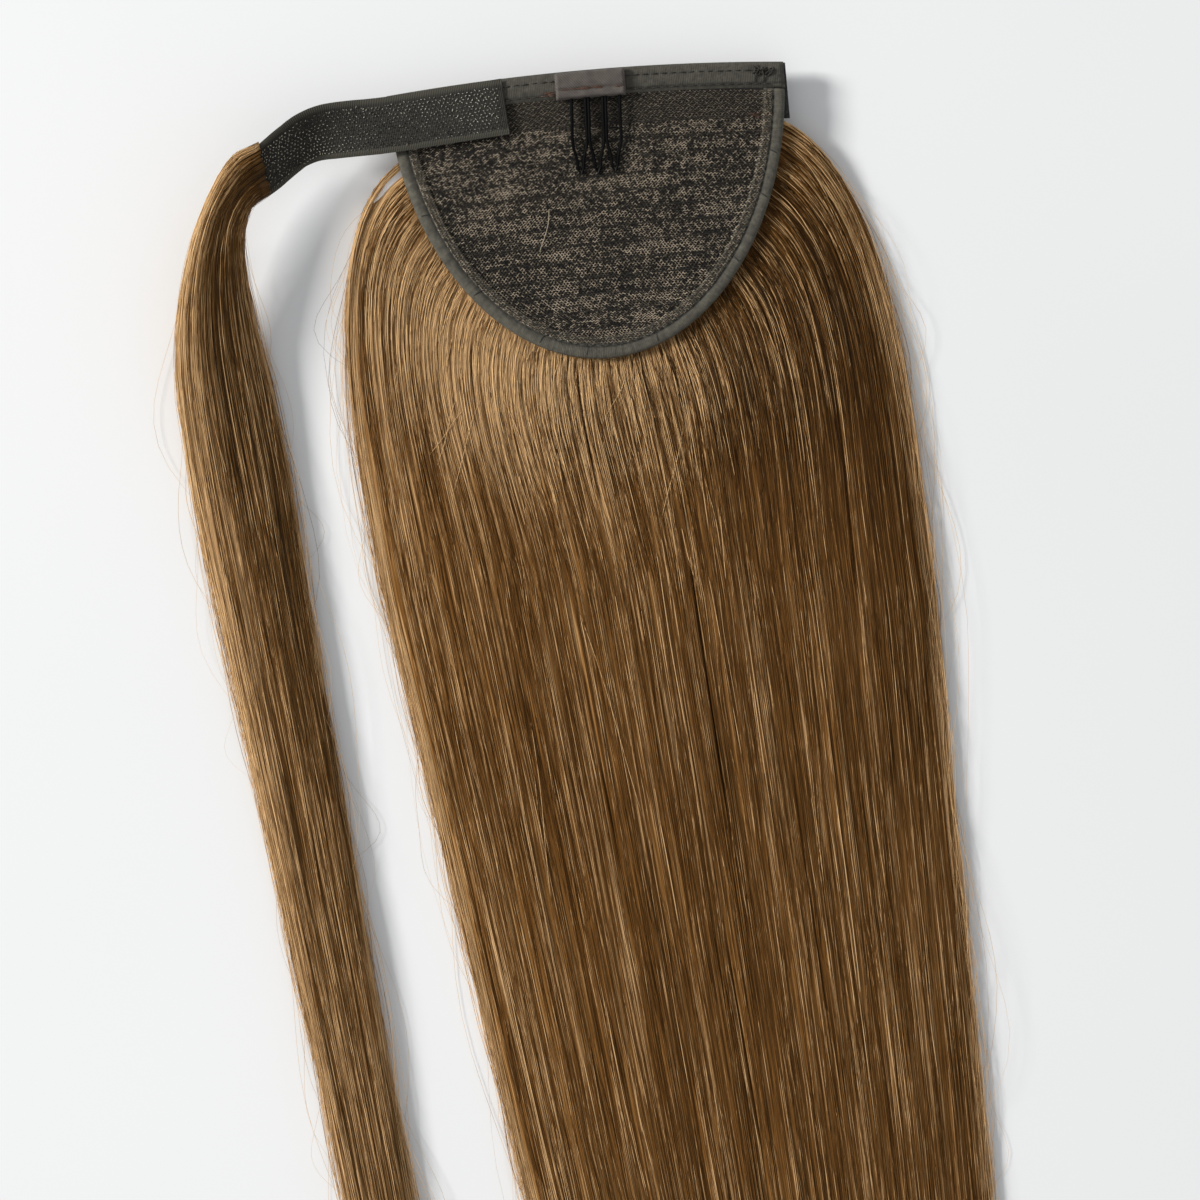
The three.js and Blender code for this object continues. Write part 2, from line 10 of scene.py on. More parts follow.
import bpy
import numpy as np
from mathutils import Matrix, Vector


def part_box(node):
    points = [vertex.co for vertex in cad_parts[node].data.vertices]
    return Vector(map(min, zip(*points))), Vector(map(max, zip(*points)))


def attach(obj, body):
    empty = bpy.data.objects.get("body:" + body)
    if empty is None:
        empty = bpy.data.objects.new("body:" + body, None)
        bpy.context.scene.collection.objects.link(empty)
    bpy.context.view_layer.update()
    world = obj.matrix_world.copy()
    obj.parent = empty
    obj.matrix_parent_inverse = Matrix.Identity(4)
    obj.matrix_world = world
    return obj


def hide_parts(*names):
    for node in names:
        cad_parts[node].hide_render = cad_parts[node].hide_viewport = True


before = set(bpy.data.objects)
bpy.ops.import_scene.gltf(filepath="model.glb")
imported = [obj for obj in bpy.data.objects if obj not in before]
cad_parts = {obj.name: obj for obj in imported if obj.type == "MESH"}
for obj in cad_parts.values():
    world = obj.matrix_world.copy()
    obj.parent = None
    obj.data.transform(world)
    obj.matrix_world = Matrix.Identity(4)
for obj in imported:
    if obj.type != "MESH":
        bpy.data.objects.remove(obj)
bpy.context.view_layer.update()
bpy.ops.object.select_all(action="DESELECT")

# The setting: the camera looks straight down from well above, as in a packshot, at a pale table. One large
# soft light stands at the upper left, and the room fills in the rest.
BASE_TURN = np.exp(1j * np.radians(5))
BASE_HALF_WIDTH = 0.071
BASE_DEPTH = 0.1
BASE_BOW = 0.003
TOP_TAPE_WIDTH = 0.0093
tape_low, tape_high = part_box("top_tape")
tape_middle = complex(tape_low.x + tape_high.x, tape_low.y + tape_high.y) / 2
BASE = tape_middle + 0.5j * TOP_TAPE_WIDTH * BASE_TURN
CAMERA_HEIGHT = 1.5
VIEW_WIDTH = 0.4284
SHARP_HEIGHT = 0.01
aim = BASE + complex(0.0054, -0.1859)

bpy.ops.object.camera_add(location=(aim.real, aim.imag, CAMERA_HEIGHT))
camera = bpy.context.object
camera.data.sensor_width = 36
camera.data.lens = 36 * (CAMERA_HEIGHT - SHARP_HEIGHT) / VIEW_WIDTH
camera.data.clip_start = 0.05
bpy.context.scene.camera = camera


def soft_light(name, away, size, watts, colour):
    """A square soft light that looks at the hairpiece from a place given from its middle."""
    bpy.ops.object.light_add(type="AREA", location=(aim.real + away[0], aim.imag + away[1], away[2]))
    light = bpy.context.object
    light.name = name
    light.data.size = size
    light.data.energy = watts
    light.data.color = colour
    flat = math.hypot(away[0], away[1])
    light.rotation_euler = (math.atan2(flat, away[2]), 0, math.atan2(away[0], -away[1]))
    return light


soft_light("key", (-5.2, 1.5, 3.1), 1.45, 453, (1, 0.985, 0.96))

world = bpy.data.worlds.new("room")
bpy.context.scene.world = world
world.use_nodes = True
world.node_tree.nodes["Background"].inputs["Color"].default_value = (0.96, 0.98, 1, 1)
world.node_tree.nodes["Background"].inputs["Strength"].default_value = 0.5
bpy.context.scene.view_settings.view_transform = "Standard"


class Finish:
    """A material and the wiring of its nodes."""

    def __init__(self, name, **sockets):
        self.material = bpy.data.materials.new(name)
        self.material.use_nodes = True
        self.tree = self.material.node_tree
        self.shader = self.tree.nodes["Principled BSDF"]
        for socket, value in sockets.items():
            self.shader.inputs[socket.replace("_", " ")].default_value = value

    def node(self, kind, wires=(), **settings):
        """A new node, with its settings, and its sockets set to a number or wired to another's."""
        made = self.tree.nodes.new("ShaderNode" + kind)
        for key, value in settings.items():
            setattr(made, key, value)
        for socket, value in dict(wires).items():
            self.wire(value, made.inputs[socket])
        return made

    def wire(self, value, socket):
        if isinstance(value, bpy.types.NodeSocket):
            self.tree.links.new(value, socket)
        else:
            socket.default_value = value

    def place(self, scale, uv=False):
        """The object's own coordinates, or its map along the hair or cloth, stretched by a scale."""
        source = self.node("TexCoord").outputs["UV" if uv else "Object"]
        return self.node("Mapping", {"Vector": source, "Scale": scale}).outputs["Vector"]

    def noise(self, scale, detail=3.0, uv=False, roughness=0.5):
        wires = {"Vector": self.place(scale, uv), "Scale": 1.0, "Detail": detail, "Roughness": roughness}
        return self.node("TexNoise", wires).outputs["Fac"]

    def ramp(self, value, *stops):
        """A colour for each value: stops are (place, colour)."""
        made = self.node("ValToRGB", {"Fac": value})
        elements = made.color_ramp.elements
        while len(elements) < len(stops):
            elements.new(0.5)
        for element, (place, colour) in zip(elements, stops):
            element.position = place
            element.color = (*colour, 1)
        return made.outputs["Color"]

    def mix(self, share, first, second, blend="MIX"):
        made = self.node("Mix", data_type="RGBA", blend_type=blend)
        for socket, value in ((0, share), (6, first), (7, second)):
            self.wire(value if not isinstance(value, tuple) else (*value, 1), made.inputs[socket])
        return made.outputs[2]

    def relief(self, height, depth, strength=1.0, below=None):
        """A bump of that depth in metres. Returns the normal."""
        wires = {"Height": height, "Distance": depth, "Strength": strength}
        if below is not None:
            wires["Normal"] = below
        return self.node("Bump", wires).outputs["Normal"]


bpy.ops.mesh.primitive_plane_add(size=8, location=(aim.real, aim.imag, 0))
table = bpy.context.object
table.name = "table"
paper = Finish("paper", Roughness=0.75)
grain = paper.noise((2.5, 2.5, 2.5), detail=2)
paper_colour = paper.ramp(grain, (0.3, (0.80, 0.81, 0.815)), (0.7, (0.83, 0.835, 0.84)))
paper.wire(paper_colour, paper.shader.inputs["Base Color"])
table.data.materials.append(paper.material)

# The net: a half oval of knitted mesh, dark brown, that every row of hair is sewn to. The rows' seams
# run across it and pull it into low pillows, and paler yarn shows through in patches.
NET_THICK = 0.001
EDGE_HEIGHT = 0.011
DOME = 0.0016
FIRST_SEAM = 0.0195
SEAM_PITCH = 0.0058
KNIT_ROW = 0.00078
KNIT_STITCH = 0.0012
YARN = 0.00019


def bowed(u, v):
    """How far the base is bowed out at u, v: most in the middle of its straight edge."""
    return BASE_BOW * (1 - (u / BASE_HALF_WIDTH) ** 2) * (1 - v / BASE_DEPTH)


def net_height(u, v):
    """The height of the middle of the net over the table."""
    reach = (u / BASE_HALF_WIDTH) ** 2 + (v / BASE_DEPTH) ** 2
    return EDGE_HEIGHT + DOME * (1 - np.minimum(1, reach))


def on_base(u, v, over):
    """Points of the base, at a height over or under the middle of the net, as an array of x, y, z."""
    flat = BASE + (u + 1j * (bowed(u, v) - v)) * BASE_TURN
    return np.stack([flat.real, flat.imag, net_height(u, v) + over], axis=-1)


def oval(angle, inset):
    """u and v on the base's curved edge, moved inwards by inset. The angle is from the foot of the curve."""
    out_u = np.sin(angle) / BASE_HALF_WIDTH
    out_v = np.cos(angle) / BASE_DEPTH
    length = np.hypot(out_u, out_v)
    return (
        BASE_HALF_WIDTH * np.sin(angle) - inset * out_u / length,
        BASE_DEPTH * np.cos(angle) - inset * out_v / length,
    )


def half_width(v, inset):
    """How far the base reaches to each side at v, inside an edge of that width."""
    angles = np.linspace(0, np.pi / 2, 400)
    us, vs = oval(angles, inset)
    return np.interp(-np.asarray(v), -vs, us)


def new_piece(name, points, faces, finish, replaces=(), uv=None, tone=None, smooth=True):
    """A mesh from points and faces, riding on the part. uv and tone are given for each point."""
    points = np.asarray(points, float).reshape(-1, 3)
    mesh = bpy.data.meshes.new(name)
    mesh.vertices.add(len(points))
    mesh.vertices.foreach_set("co", points.astype(np.float32).ravel())
    corners = np.concatenate([np.asarray(block).ravel() for block in faces]).astype(np.int32)
    sizes = np.concatenate([np.full(len(block), np.asarray(block).shape[1]) for block in faces])
    starts = np.concatenate([[0], np.cumsum(sizes)[:-1]]).astype(np.int32)
    mesh.loops.add(len(corners))
    mesh.loops.foreach_set("vertex_index", corners)
    mesh.polygons.add(len(sizes))
    mesh.polygons.foreach_set("loop_start", starts)
    mesh.update(calc_edges=True)
    mesh.polygons.foreach_set("use_smooth", np.full(len(sizes), smooth))
    if uv is not None:
        layer = mesh.uv_layers.new(name="flow")
        layer.data.foreach_set("uv", np.asarray(uv, np.float32).reshape(-1, 2)[corners].ravel())
    if tone is not None:
        shade = mesh.attributes.new("tone", "FLOAT", "POINT")
        shade.data.foreach_set("value", np.asarray(tone, np.float32).ravel())
    mesh.materials.append(finish.material)
    piece = bpy.data.objects.new(name, mesh)
    bpy.context.scene.collection.objects.link(piece)
    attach(piece, "root")
    if replaces:
        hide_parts(*replaces)
    return piece


def grid_faces(rows, columns, start=0, closed=False):
    """The squares of a grid of points, row by row. A closed grid joins its last column to its first."""
    index = np.arange(rows * columns).reshape(rows, columns) + start
    right = np.roll(index, -1, axis=1) if closed else index[:, 1:]
    left = index if closed else index[:, :-1]
    return np.stack([left[:-1], right[:-1], right[1:], left[1:]], axis=-1).reshape(-1, 4)


def shell(upper, lower):
    """A closed body between an upper and a lower grid of points. Rows run down the table and columns to the
    right. Returns its points and faces."""
    rows, columns = upper.shape[:2]
    around = rim_of(rows, columns)
    below = around + rows * columns
    walls = np.stack([around, np.roll(around, -1), np.roll(below, -1), below], axis=-1)
    faces = [grid_faces(rows, columns)[:, ::-1], grid_faces(rows, columns, rows * columns), walls]
    return np.concatenate([upper.reshape(-1, 3), lower.reshape(-1, 3)]), faces


def rim_of(rows, columns):
    """The points round the edge of a grid, in order."""
    return np.concatenate([
        np.arange(columns), np.arange(1, rows) * columns + columns - 1,
        (rows - 1) * columns + np.arange(columns - 2, -1, -1), np.arange(rows - 2, 0, -1) * columns,
    ])


def yarns(paths, radius, sides=3):
    """Thin round threads along paths of x, y, z, given as an array of threads by points. Returns the
    points and faces of them all, each thread closed at its two ends."""
    count, steps = paths.shape[:2]
    along = np.gradient(paths, axis=1)
    along /= np.linalg.norm(along, axis=-1, keepdims=True) + 1e-12
    level = np.cross(along, [0.0, 0.0, 1.0])
    level /= np.linalg.norm(level, axis=-1, keepdims=True) + 1e-12
    rise = np.cross(level, along)
    turn = np.pi / 2 + 2 * np.pi * np.arange(sides) / sides
    radius = np.broadcast_to(radius, (count, steps))[..., None, None]
    ring = np.cos(turn)[:, None] * level[:, :, None] + np.sin(turn)[:, None] * rise[:, :, None]
    points = paths[:, :, None] + radius * ring
    size = steps * sides
    one = grid_faces(steps, sides, closed=True)[:, ::-1]
    starts = size * np.arange(count)[:, None, None]
    walls = (one[None] + starts).reshape(-1, 4)
    near = np.arange(sides)[None] + starts[:, 0]
    far = (size - 1 - np.arange(sides))[None] + starts[:, 0]
    return points.reshape(-1, 3), [walls, np.concatenate([near, far])]


def streaks(seed, along, across):
    """Random relief in long streaks: a function of the place along and across, both from 0 to 1, that
    gives values from -1 to 1. along and across say how many cells it has each way."""
    cells = np.random.default_rng(seed).uniform(-1, 1, (along + 2, across + 2))

    def value(at, share):
        row = np.clip(at, 0, 1) * along
        column = np.clip(share, 0, 1) * across
        i, j = row.astype(int), column.astype(int)
        down, right = row - i, column - j
        down, right = down * down * (3 - 2 * down), right * right * (3 - 2 * right)
        upper = cells[i, j] * (1 - right) + cells[i, j + 1] * right
        lower = cells[i + 1, j] * (1 - right) + cells[i + 1, j + 1] * right
        return upper * (1 - down) + lower * down

    return value


def blend(first, second, share):
    return first + (second - first) * share


def ease(value, low, high):
    """0 below low, 1 above high, and a smooth step between them."""
    share = np.clip((value - low) / (high - low), 0, 1)
    return share * share * (3 - 2 * share)


def hump(value, middle, width):
    """1 at the middle, falling off to nothing on both sides."""
    return np.exp(-(((value - middle) / width) ** 2))


def pillow(v):
    """How high the net puffs up between two seams: 0 at a seam and 1 half way."""
    return np.abs(np.sin(np.pi * (v - FIRST_SEAM) / SEAM_PITCH)) ** 0.6 * (v > FIRST_SEAM)


yarn = Finish("net_yarn", Roughness=0.8)
tone = yarn.node("Attribute", attribute_name="tone").outputs["Fac"]
speck = yarn.noise((900, 900, 900), detail=1)
shade = yarn.ramp(tone, (0, (0.006, 0.005, 0.0035)), (0.4, (0.13, 0.107, 0.076)), (1, (0.75, 0.62, 0.46)))
specked = yarn.mix(0.35, shade, yarn.mix(speck, (0, 0, 0), (1, 1, 1)), "SOFT_LIGHT")
yarn.wire(specked, yarn.shader.inputs["Base Color"])

backing = Finish("net_ground", Roughness=0.95)
ground = backing.noise((500, 700, 500), detail=2)
dark_cloth = backing.ramp(ground, (0.35, (0.004, 0.0033, 0.0026)), (0.7, (0.018, 0.015, 0.011)))
backing.wire(dark_cloth, backing.shader.inputs["Base Color"])
backing.wire(backing.relief(ground, 0.0004), backing.shader.inputs["Normal"])

NET_INSET = 0.0013
spokes = np.linspace(-1, 1, 91) * np.arccos(NET_INSET / BASE_DEPTH)
rim_u, rim_v = oval(spokes, NET_INSET)
shares = np.linspace(0, 1, 41)[:, None]
net_u = rim_u * shares
net_v = NET_INSET + (rim_v - NET_INSET) * shares
upper = on_base(net_u, net_v, NET_THICK * 0.15 + 0.0003 * pillow(net_v))
lower = on_base(net_u, net_v, np.full_like(net_u, -NET_THICK / 2))
points, faces = shell(upper, lower)
net = new_piece("net_ground", points, faces, backing, replaces=["base_net"])

random = np.random.default_rng(11)
patches = random.uniform(-1, 1, (17, 22))
fine_patch = streaks(13, 60, 40)
knit_points, knit_faces, knit_tones = [], [], []
total = 0
for row, v in enumerate(np.arange(0.0095, BASE_DEPTH - 0.005, KNIT_ROW)):
    reach = float(half_width(v, 0.0047))
    inner = float(half_width(v, 0.0076))
    if reach < 0.004:
        break
    steps = int(4 * reach / KNIT_STITCH)
    u = np.linspace(-reach, reach, steps) + random.normal(0, 0.00009, steps)
    swing = np.where(np.arange(steps) % 2, 1, -1) * 0.0003
    dip = 0.0012 * (u / BASE_HALF_WIDTH) ** 2
    rows_v = v + swing + dip + random.normal(0, 0.00008, steps)
    lift = NET_THICK * 0.2 + 0.00034 * pillow(v + dip) + random.uniform(0, 0.00022, steps)
    on_tape = ease(np.abs(u), inner - 0.0006, inner + 0.0002)
    lift = blend(lift, 0.00132 + random.uniform(0, 0.0002, steps), on_tape)
    path = on_base(u, rows_v, lift)[None]
    points, faces = yarns(path, YARN * (0.85 + 0.3 * random.random()))
    band = np.clip((v + dip - FIRST_SEAM) / SEAM_PITCH + 1, 0, 16).astype(int)
    across = (u / BASE_HALF_WIDTH + 1) / 2
    cell = (across * 15 + 0.5 * np.sin(3.0 * band)).clip(0, 21).astype(int)
    pale = 0.24 * (patches[band, cell] > 0.35) + 0.16 * fine_patch(np.full(steps, v / BASE_DEPTH), across)
    seam = 1 - pillow(v + dip)
    tones = 0.49 + pale + random.normal(0, 0.46, steps) - 0.44 * seam * (v > FIRST_SEAM)
    twill_rib = 0.3 * np.sin(2 * np.pi * (u + 0.9 * v) / 0.0018)
    tones = np.where(v + dip < FIRST_SEAM, 0.36 + twill_rib + random.normal(0, 0.1, steps), tones)
    tones = blend(tones, 0.52 + random.normal(0, 0.2, steps), on_tape)
    knit_points.append(points)
    knit_faces.append([block + total for block in faces])
    knit_tones.append(np.repeat(np.clip(tones, 0, 1), 3))
    total += len(points)
new_piece(
    "net_knit", np.concatenate(knit_points),
    [np.concatenate([walls for walls, _ in knit_faces]), np.concatenate([ends for _, ends in knit_faces])],
    yarn, tone=np.concatenate(knit_tones),
)

# A dark line of machine stitches holds each row of hair, and one pale fibre has strayed on to the net.
seam_paths = []
for seam_v in np.arange(FIRST_SEAM, BASE_DEPTH - 0.012, SEAM_PITCH):
    reach = float(half_width(seam_v, 0.0076))
    u = np.linspace(-reach, reach, 150)
    wave = 0.00018 * np.sin(2 * np.pi * u / 0.0026) + random.normal(0, 0.00006, 150)
    dip = 0.0012 * (u / BASE_HALF_WIDTH) ** 2
    seam_paths.append(on_base(u, seam_v - dip + wave, 0.0007 + random.normal(0, 0.00006, 150)))
points, faces = yarns(np.array(seam_paths), 0.00019)
new_piece("net_seams", points, faces, yarn, tone=np.full(len(points), 0.06))
fibre_u = np.array([-0.0168, -0.0171, -0.0176, -0.0184, -0.0193, -0.0204, -0.0214])
fibre_v = np.array([0.0470, 0.0497, 0.0522, 0.0545, 0.0566, 0.0588, 0.0612])
points, faces = yarns(on_base(fibre_u, fibre_v, np.full(7, 0.0012))[None], 0.00013)
new_piece("net_fibre", points, faces, yarn, tone=np.full(len(points), 0.85))

# The bound edge: woven tape folded over the net's curved edge. Its outer fold is a smooth soft roll, and
# two rows of zigzag stitching hold the flatter inner half down on the net.
TAPE_THICK = 0.001
CLOTH_GAP = 0.0003
FOLD_REACH = NET_THICK / 2 + CLOTH_GAP + TAPE_THICK
EDGE_TAPE_WIDTH = 0.0075
EDGE_ROLL = 0.0038
RIB_SCALE = 500

tape = Finish("woven_tape", Roughness=0.85)
warp = tape.node("TexWave", {"Vector": tape.place((1, 1, 1), uv=True), "Scale": 1.0, "Distortion": 1.2})
cloudy = tape.noise((520, 520, 520), detail=4, roughness=0.7)
tape_colour = tape.ramp(cloudy, (0.25, (0.066, 0.061, 0.046)), (0.75, (0.185, 0.170, 0.130)))
rib_colour = tape.ramp(warp.outputs["Fac"], (0.2, (0.050, 0.046, 0.034)), (0.8, (0.230, 0.212, 0.158)))
# The tone attribute scales the tape's colour. On the bound edge it carries painted light and shade; on the
# top tape and the corner knot, the cloth's own tone.
tape_shade = tape.node("Attribute", attribute_name="tone").outputs["Fac"]
tape_level = tape.ramp(tape_shade, (0, (0.1, 0.095, 0.085)), (0.5, (0.56, 0.56, 0.56)), (1, (1, 0.99, 0.97)))
woven = tape.mix(0.12, tape_colour, rib_colour)
tape.wire(tape.mix(1.0, woven, tape_level, "MULTIPLY"), tape.shader.inputs["Base Color"])
tape_bump = tape.relief(warp.outputs["Fac"], 0.00006, below=tape.relief(cloudy, 0.0003))
tape.wire(tape_bump, tape.shader.inputs["Normal"])

section = np.array([
    (0.0, 0.0), (0.0001, 0.0008), (0.0005, 0.0013), (0.0014, 0.0016), (0.0025, 0.00165), (0.0034, 0.00145),
    (0.0040, 0.00105), (0.0045, 0.00116), (0.0053, 0.00112), (0.0060, 0.00104), (0.0066, 0.00116),
    (0.0072, 0.00112), (0.0075, 0.0008), (0.0073, 0.00055), (0.0050, 0.0006), (0.0016, 0.0006),
    (0.0010, 0.0), (0.0016, -0.0008), (0.0073, -0.0008), (0.0075, -0.0013), (0.0073, -0.0018),
    (0.0012, -0.0018), (0.0003, -0.0012),
])
# The bound edge's tone, point by point across its section: lighter over the crown of the roll, and dark in
# the grooves beside the stitch rows and at the inner edge, as painted light and shade. Each spoke and point
# then gets a random tone of its own.
section_painted_shade = np.full(len(section), 0.45)
section_painted_shade[:13] = (0.6, 0.6, 0.55, 0.54, 0.52, 0.45, 0.12, 0.45, 0.48, 0.25, 0.48, 0.4, 0.12)
end_angle = np.arccos((TOP_TAPE_WIDTH + 2 * CLOTH_GAP) / BASE_DEPTH)
spokes = np.linspace(-end_angle, end_angle, 361)
ripple = streaks(21, 90, 3)
sway = streaks(22, 40, 2)
rings = []
for index, angle in enumerate(spokes):
    place = index / (len(spokes) - 1)
    wave = 0.00012 * ripple(np.array(place), np.array(0.4)) + 0.0001 * sway(np.array(place), np.array(0.7))
    u, v = oval(angle, section[:, 0])
    puff = np.where(section[:, 1] > 0, 1 + 900 * wave * (section[:, 0] > 0.003), 1)
    rings.append(on_base(u, v, section[:, 1] * puff))
rings = np.array(rings)
arc = np.cumsum(np.r_[0, np.abs(np.diff((rings[:, 3, 0] + 1j * rings[:, 3, 1])))])
ring_uv = np.stack(np.broadcast_arrays(arc[:, None] * RIB_SCALE, section[None, :, 0] * 200), axis=-1)
sides = len(section)
caps = [np.arange(sides)[None], (len(spokes) * sides - 1 - np.arange(sides))[None]]
random = np.random.default_rng(23)
ring_tone_and_shade = section_painted_shade + random.normal(0, 0.07, (len(spokes), 1)) + random.normal(0, 0.05, rings.shape[:2])
new_piece(
    "edge_binding", rings, [grid_faces(len(spokes), sides, closed=True)[:, ::-1], *caps],
    tape, replaces=["edge_tape"], uv=ring_uv, tone=np.clip(ring_tone_and_shade, 0, 1),
)


def stitches(points_along, over, length, gap, radius, rise=0.00035, slant=0.0):
    """Paths of a row of stitches along a line of u, v points. Each dips into the cloth at its two ends."""
    flat = points_along[:, 0] + 1j * points_along[:, 1]
    arc = np.r_[0, np.cumsum(np.abs(np.diff(flat)))]
    starts = np.arange(0, arc[-1] - length, length + gap)
    share = np.linspace(0, 1, 7)
    at = starts[:, None] + length * share
    u, v = np.interp(at, arc, points_along[:, 0]), np.interp(at, arc, points_along[:, 1])
    on_u, on_v = np.interp(at + 1e-4, arc, points_along[:, 0]), np.interp(at + 1e-4, arc, points_along[:, 1])
    way = on_u - u + 1j * (on_v - v)
    turns = np.where(np.arange(len(starts)) % 2, 1, -1)[:, None]
    side = 1j * way / (np.abs(way) + 1e-12) * slant * (share - 0.5) * turns
    height = over + rise * np.sin(np.pi * share) - radius * (share - 0.5) ** 2 * 8
    return on_base(u + side.real, v + side.imag, np.broadcast_to(height, u.shape))


thread = Finish("sewing_thread", Roughness=0.6)
strand = thread.noise((1500, 1500, 1500), detail=1)
thread_colour = thread.ramp(strand, (0.3, (0.008, 0.007, 0.005)), (0.7, (0.030, 0.027, 0.020)))
thread.wire(thread_colour, thread.shader.inputs["Base Color"])
for number, inset in enumerate((0.0046, 0.0066)):
    line = np.stack(oval(np.linspace(-end_angle, end_angle, 300), inset), axis=-1)
    points, faces = yarns(stitches(line, 0.00118, 0.0021, 0.0007, 0.00019, slant=0.0009), 0.00019, sides=4)
    new_piece("edge_stitches_" + str(number + 1), points, faces, thread)

# Here and there a single tack of the same thread crosses the roll.
tack_angles = np.linspace(-end_angle + 0.15, end_angle - 0.15, 9)
tack_angles = tack_angles + np.random.default_rng(25).uniform(-0.12, 0.12, 9)
tack_inset = np.linspace(0.0012, 0.0042, 10)
tack_height = np.interp(tack_inset, section[1:9, 0], section[1:9, 1]) + 0.00005
tack_paths = [on_base(*oval(angle + 3 * tack_inset, tack_inset), tack_height) for angle in tack_angles]
points, faces = yarns(np.array(tack_paths), 0.00019, sides=4)
new_piece("edge_tacks", points, faces, thread)

# The straight edge: a wider tape folded over it, with two rows of lockstitch. A little bar of thread is
# worked into it at the right corner, where the loop tape underneath ends.
def soft_block(u_from, u_to, v_from, v_to, top, bottom, seed, puff=0.00022, steps=(170, 22)):
    """A flat piece of cloth with rounded edges: points and faces of a closed body, and its map."""
    across = np.linspace(0, 1, steps[1])[:, None]
    along = np.linspace(0, 1, steps[0])[None]
    u = u_from + (u_to - u_from) * along + 0 * across
    v = v_from + (v_to - v_from) * across + 0 * along
    wave = puff * streaks(seed, 5, 40)(across + 0 * along, along + 0 * across)
    rim = np.minimum(np.minimum(v - v_from, v_to - v), np.minimum(u - u_from, u_to - u))
    soft = np.sqrt(1 - (1 - np.clip(rim / (top - bottom), 0, 1)) ** 2)
    middle = (top + bottom) / 2
    upper = on_base(u, v, middle + (top - middle) * soft + wave * soft)
    lower = on_base(u, v, middle - (middle - bottom) * soft)
    uv = np.stack([u * RIB_SCALE, v * 200], axis=-1).reshape(-1, 2)
    return *shell(upper, lower), np.concatenate([uv, uv])


points, faces, uv = soft_block(
    -BASE_HALF_WIDTH, BASE_HALF_WIDTH, 0, TOP_TAPE_WIDTH, FOLD_REACH, -FOLD_REACH, 31, steps=(160, 22),
)
down_tape = uv[:, 1] / 200 / TOP_TAPE_WIDTH
hem = 0.36 + 0.3 * hump(down_tape, 0.93, 0.04) - 0.25 * hump(down_tape, 0.82, 0.04)
hem = hem + np.random.default_rng(24).normal(0, 0.04, len(hem))
new_piece("top_binding", points, faces, tape, replaces=["top_tape"], uv=uv, tone=hem)
for number, v in enumerate((0.0032, 0.0081)):
    line = np.stack([np.linspace(-0.069, 0.069, 60), np.full(60, v)], axis=-1)
    row = stitches(line, FOLD_REACH + 0.00012, 0.0027, 0.0006, 0.00019, rise=0.0003)
    points, faces = yarns(row, 0.00019, sides=4)
    new_piece("top_stitches_" + str(number + 1), points, faces, thread)

# The bar at the right corner is a knot of the same thread, worn into loops.
random = np.random.default_rng(35)
share = np.linspace(0, 1, 9)
loop_u = random.uniform(0.0605, 0.067, 26)[:, None] + random.normal(0, 0.0011, (26, 1)) * (share - 0.5)
loop_u = loop_u + random.uniform(0.0002, 0.0007, (26, 1)) * np.sin(2 * np.pi * share)
loop_v = random.uniform(0.0024, 0.0048, 26)[:, None] + random.normal(0, 0.0022, (26, 1)) * (share - 0.5)
loop_over = FOLD_REACH - 0.0002 + random.uniform(0.0005, 0.0013, (26, 1)) * np.sin(np.pi * share)
points, faces = yarns(on_base(loop_u, loop_v, loop_over), 0.00023, sides=4)
new_piece("corner_knot", points, faces, tape, tone=np.full(len(points), 0.14))

# The loop tape: soft brushed loops on a woven strip, sewn to the lower face. Only its end shows.
loops = Finish("brushed_loops", Roughness=1.0, Sheen_Weight=0.4)
fuzz = loops.noise((1300, 1300, 1300), detail=4)
loop_colour = loops.ramp(fuzz, (0.3, (0.006, 0.006, 0.006)), (0.75, (0.035, 0.034, 0.031)))
loops.wire(loop_colour, loops.shader.inputs["Base Color"])
loops.wire(loops.relief(fuzz, 0.0006), loops.shader.inputs["Normal"])
loop_end = BASE_HALF_WIDTH + 0.0008
points, faces, uv = soft_block(
    loop_end - 0.062, loop_end, 0, 0.02, -(FOLD_REACH + CLOTH_GAP), -(FOLD_REACH + CLOTH_GAP + 0.0012), 41,
    puff=0.0001, steps=(60, 20),
)
new_piece("loop_strip", points, faces, loops, replaces=["loop_tape"], uv=uv)

# The comb: black enamelled wire, three hairpin teeth on one rail. The rail lies in a tab of mauve-grey
# twill, folded over it and sewn down by hand in reddish brown thread.
enamel = Finish("black_enamel", Roughness=0.35, Specular_IOR_Level=0.06)
drag = enamel.noise((700, 120, 700), detail=2)
black = enamel.ramp(drag, (0.3, (0.0015, 0.0015, 0.0015)), (0.8, (0.004, 0.004, 0.004)))
enamel.wire(black, enamel.shader.inputs["Base Color"])
enamel.wire(enamel.relief(drag, 0.00006), enamel.shader.inputs["Normal"])
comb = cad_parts["wire_comb"]
comb.data.materials.clear()
comb.data.materials.append(enamel.material)

TAB_LEFT = -0.0108
TAB_RIGHT = 0.0142
TAB_NEAR = 0.0006
TAB_FAR = 0.0100
TAB_BOTTOM = FOLD_REACH + CLOTH_GAP
TAB_TOP = TAB_BOTTOM + 0.0025
twill = Finish("tab_twill", Roughness=0.9)
twill_wires = {"Vector": twill.place((620, 620, 0)), "Scale": 1.0, "Distortion": 2.0, "Detail": 1.0}
diagonal = twill.node("TexWave", twill_wires, bands_direction="DIAGONAL")
bloom = twill.noise((330, 330, 330), detail=4)
cloth_colour = twill.ramp(bloom, (0.3, (0.054, 0.045, 0.038)), (0.75, (0.136, 0.114, 0.1)))
line_colour = twill.ramp(diagonal.outputs["Fac"], (0.2, (0.035, 0.03, 0.026)), (0.8, (0.15, 0.13, 0.114)))
twill.wire(twill.mix(0.35, cloth_colour, line_colour), twill.shader.inputs["Base Color"])
twill_bump = twill.relief(diagonal.outputs["Fac"], 0.00015, below=twill.relief(bloom, 0.0003))
twill.wire(twill_bump, twill.shader.inputs["Normal"])

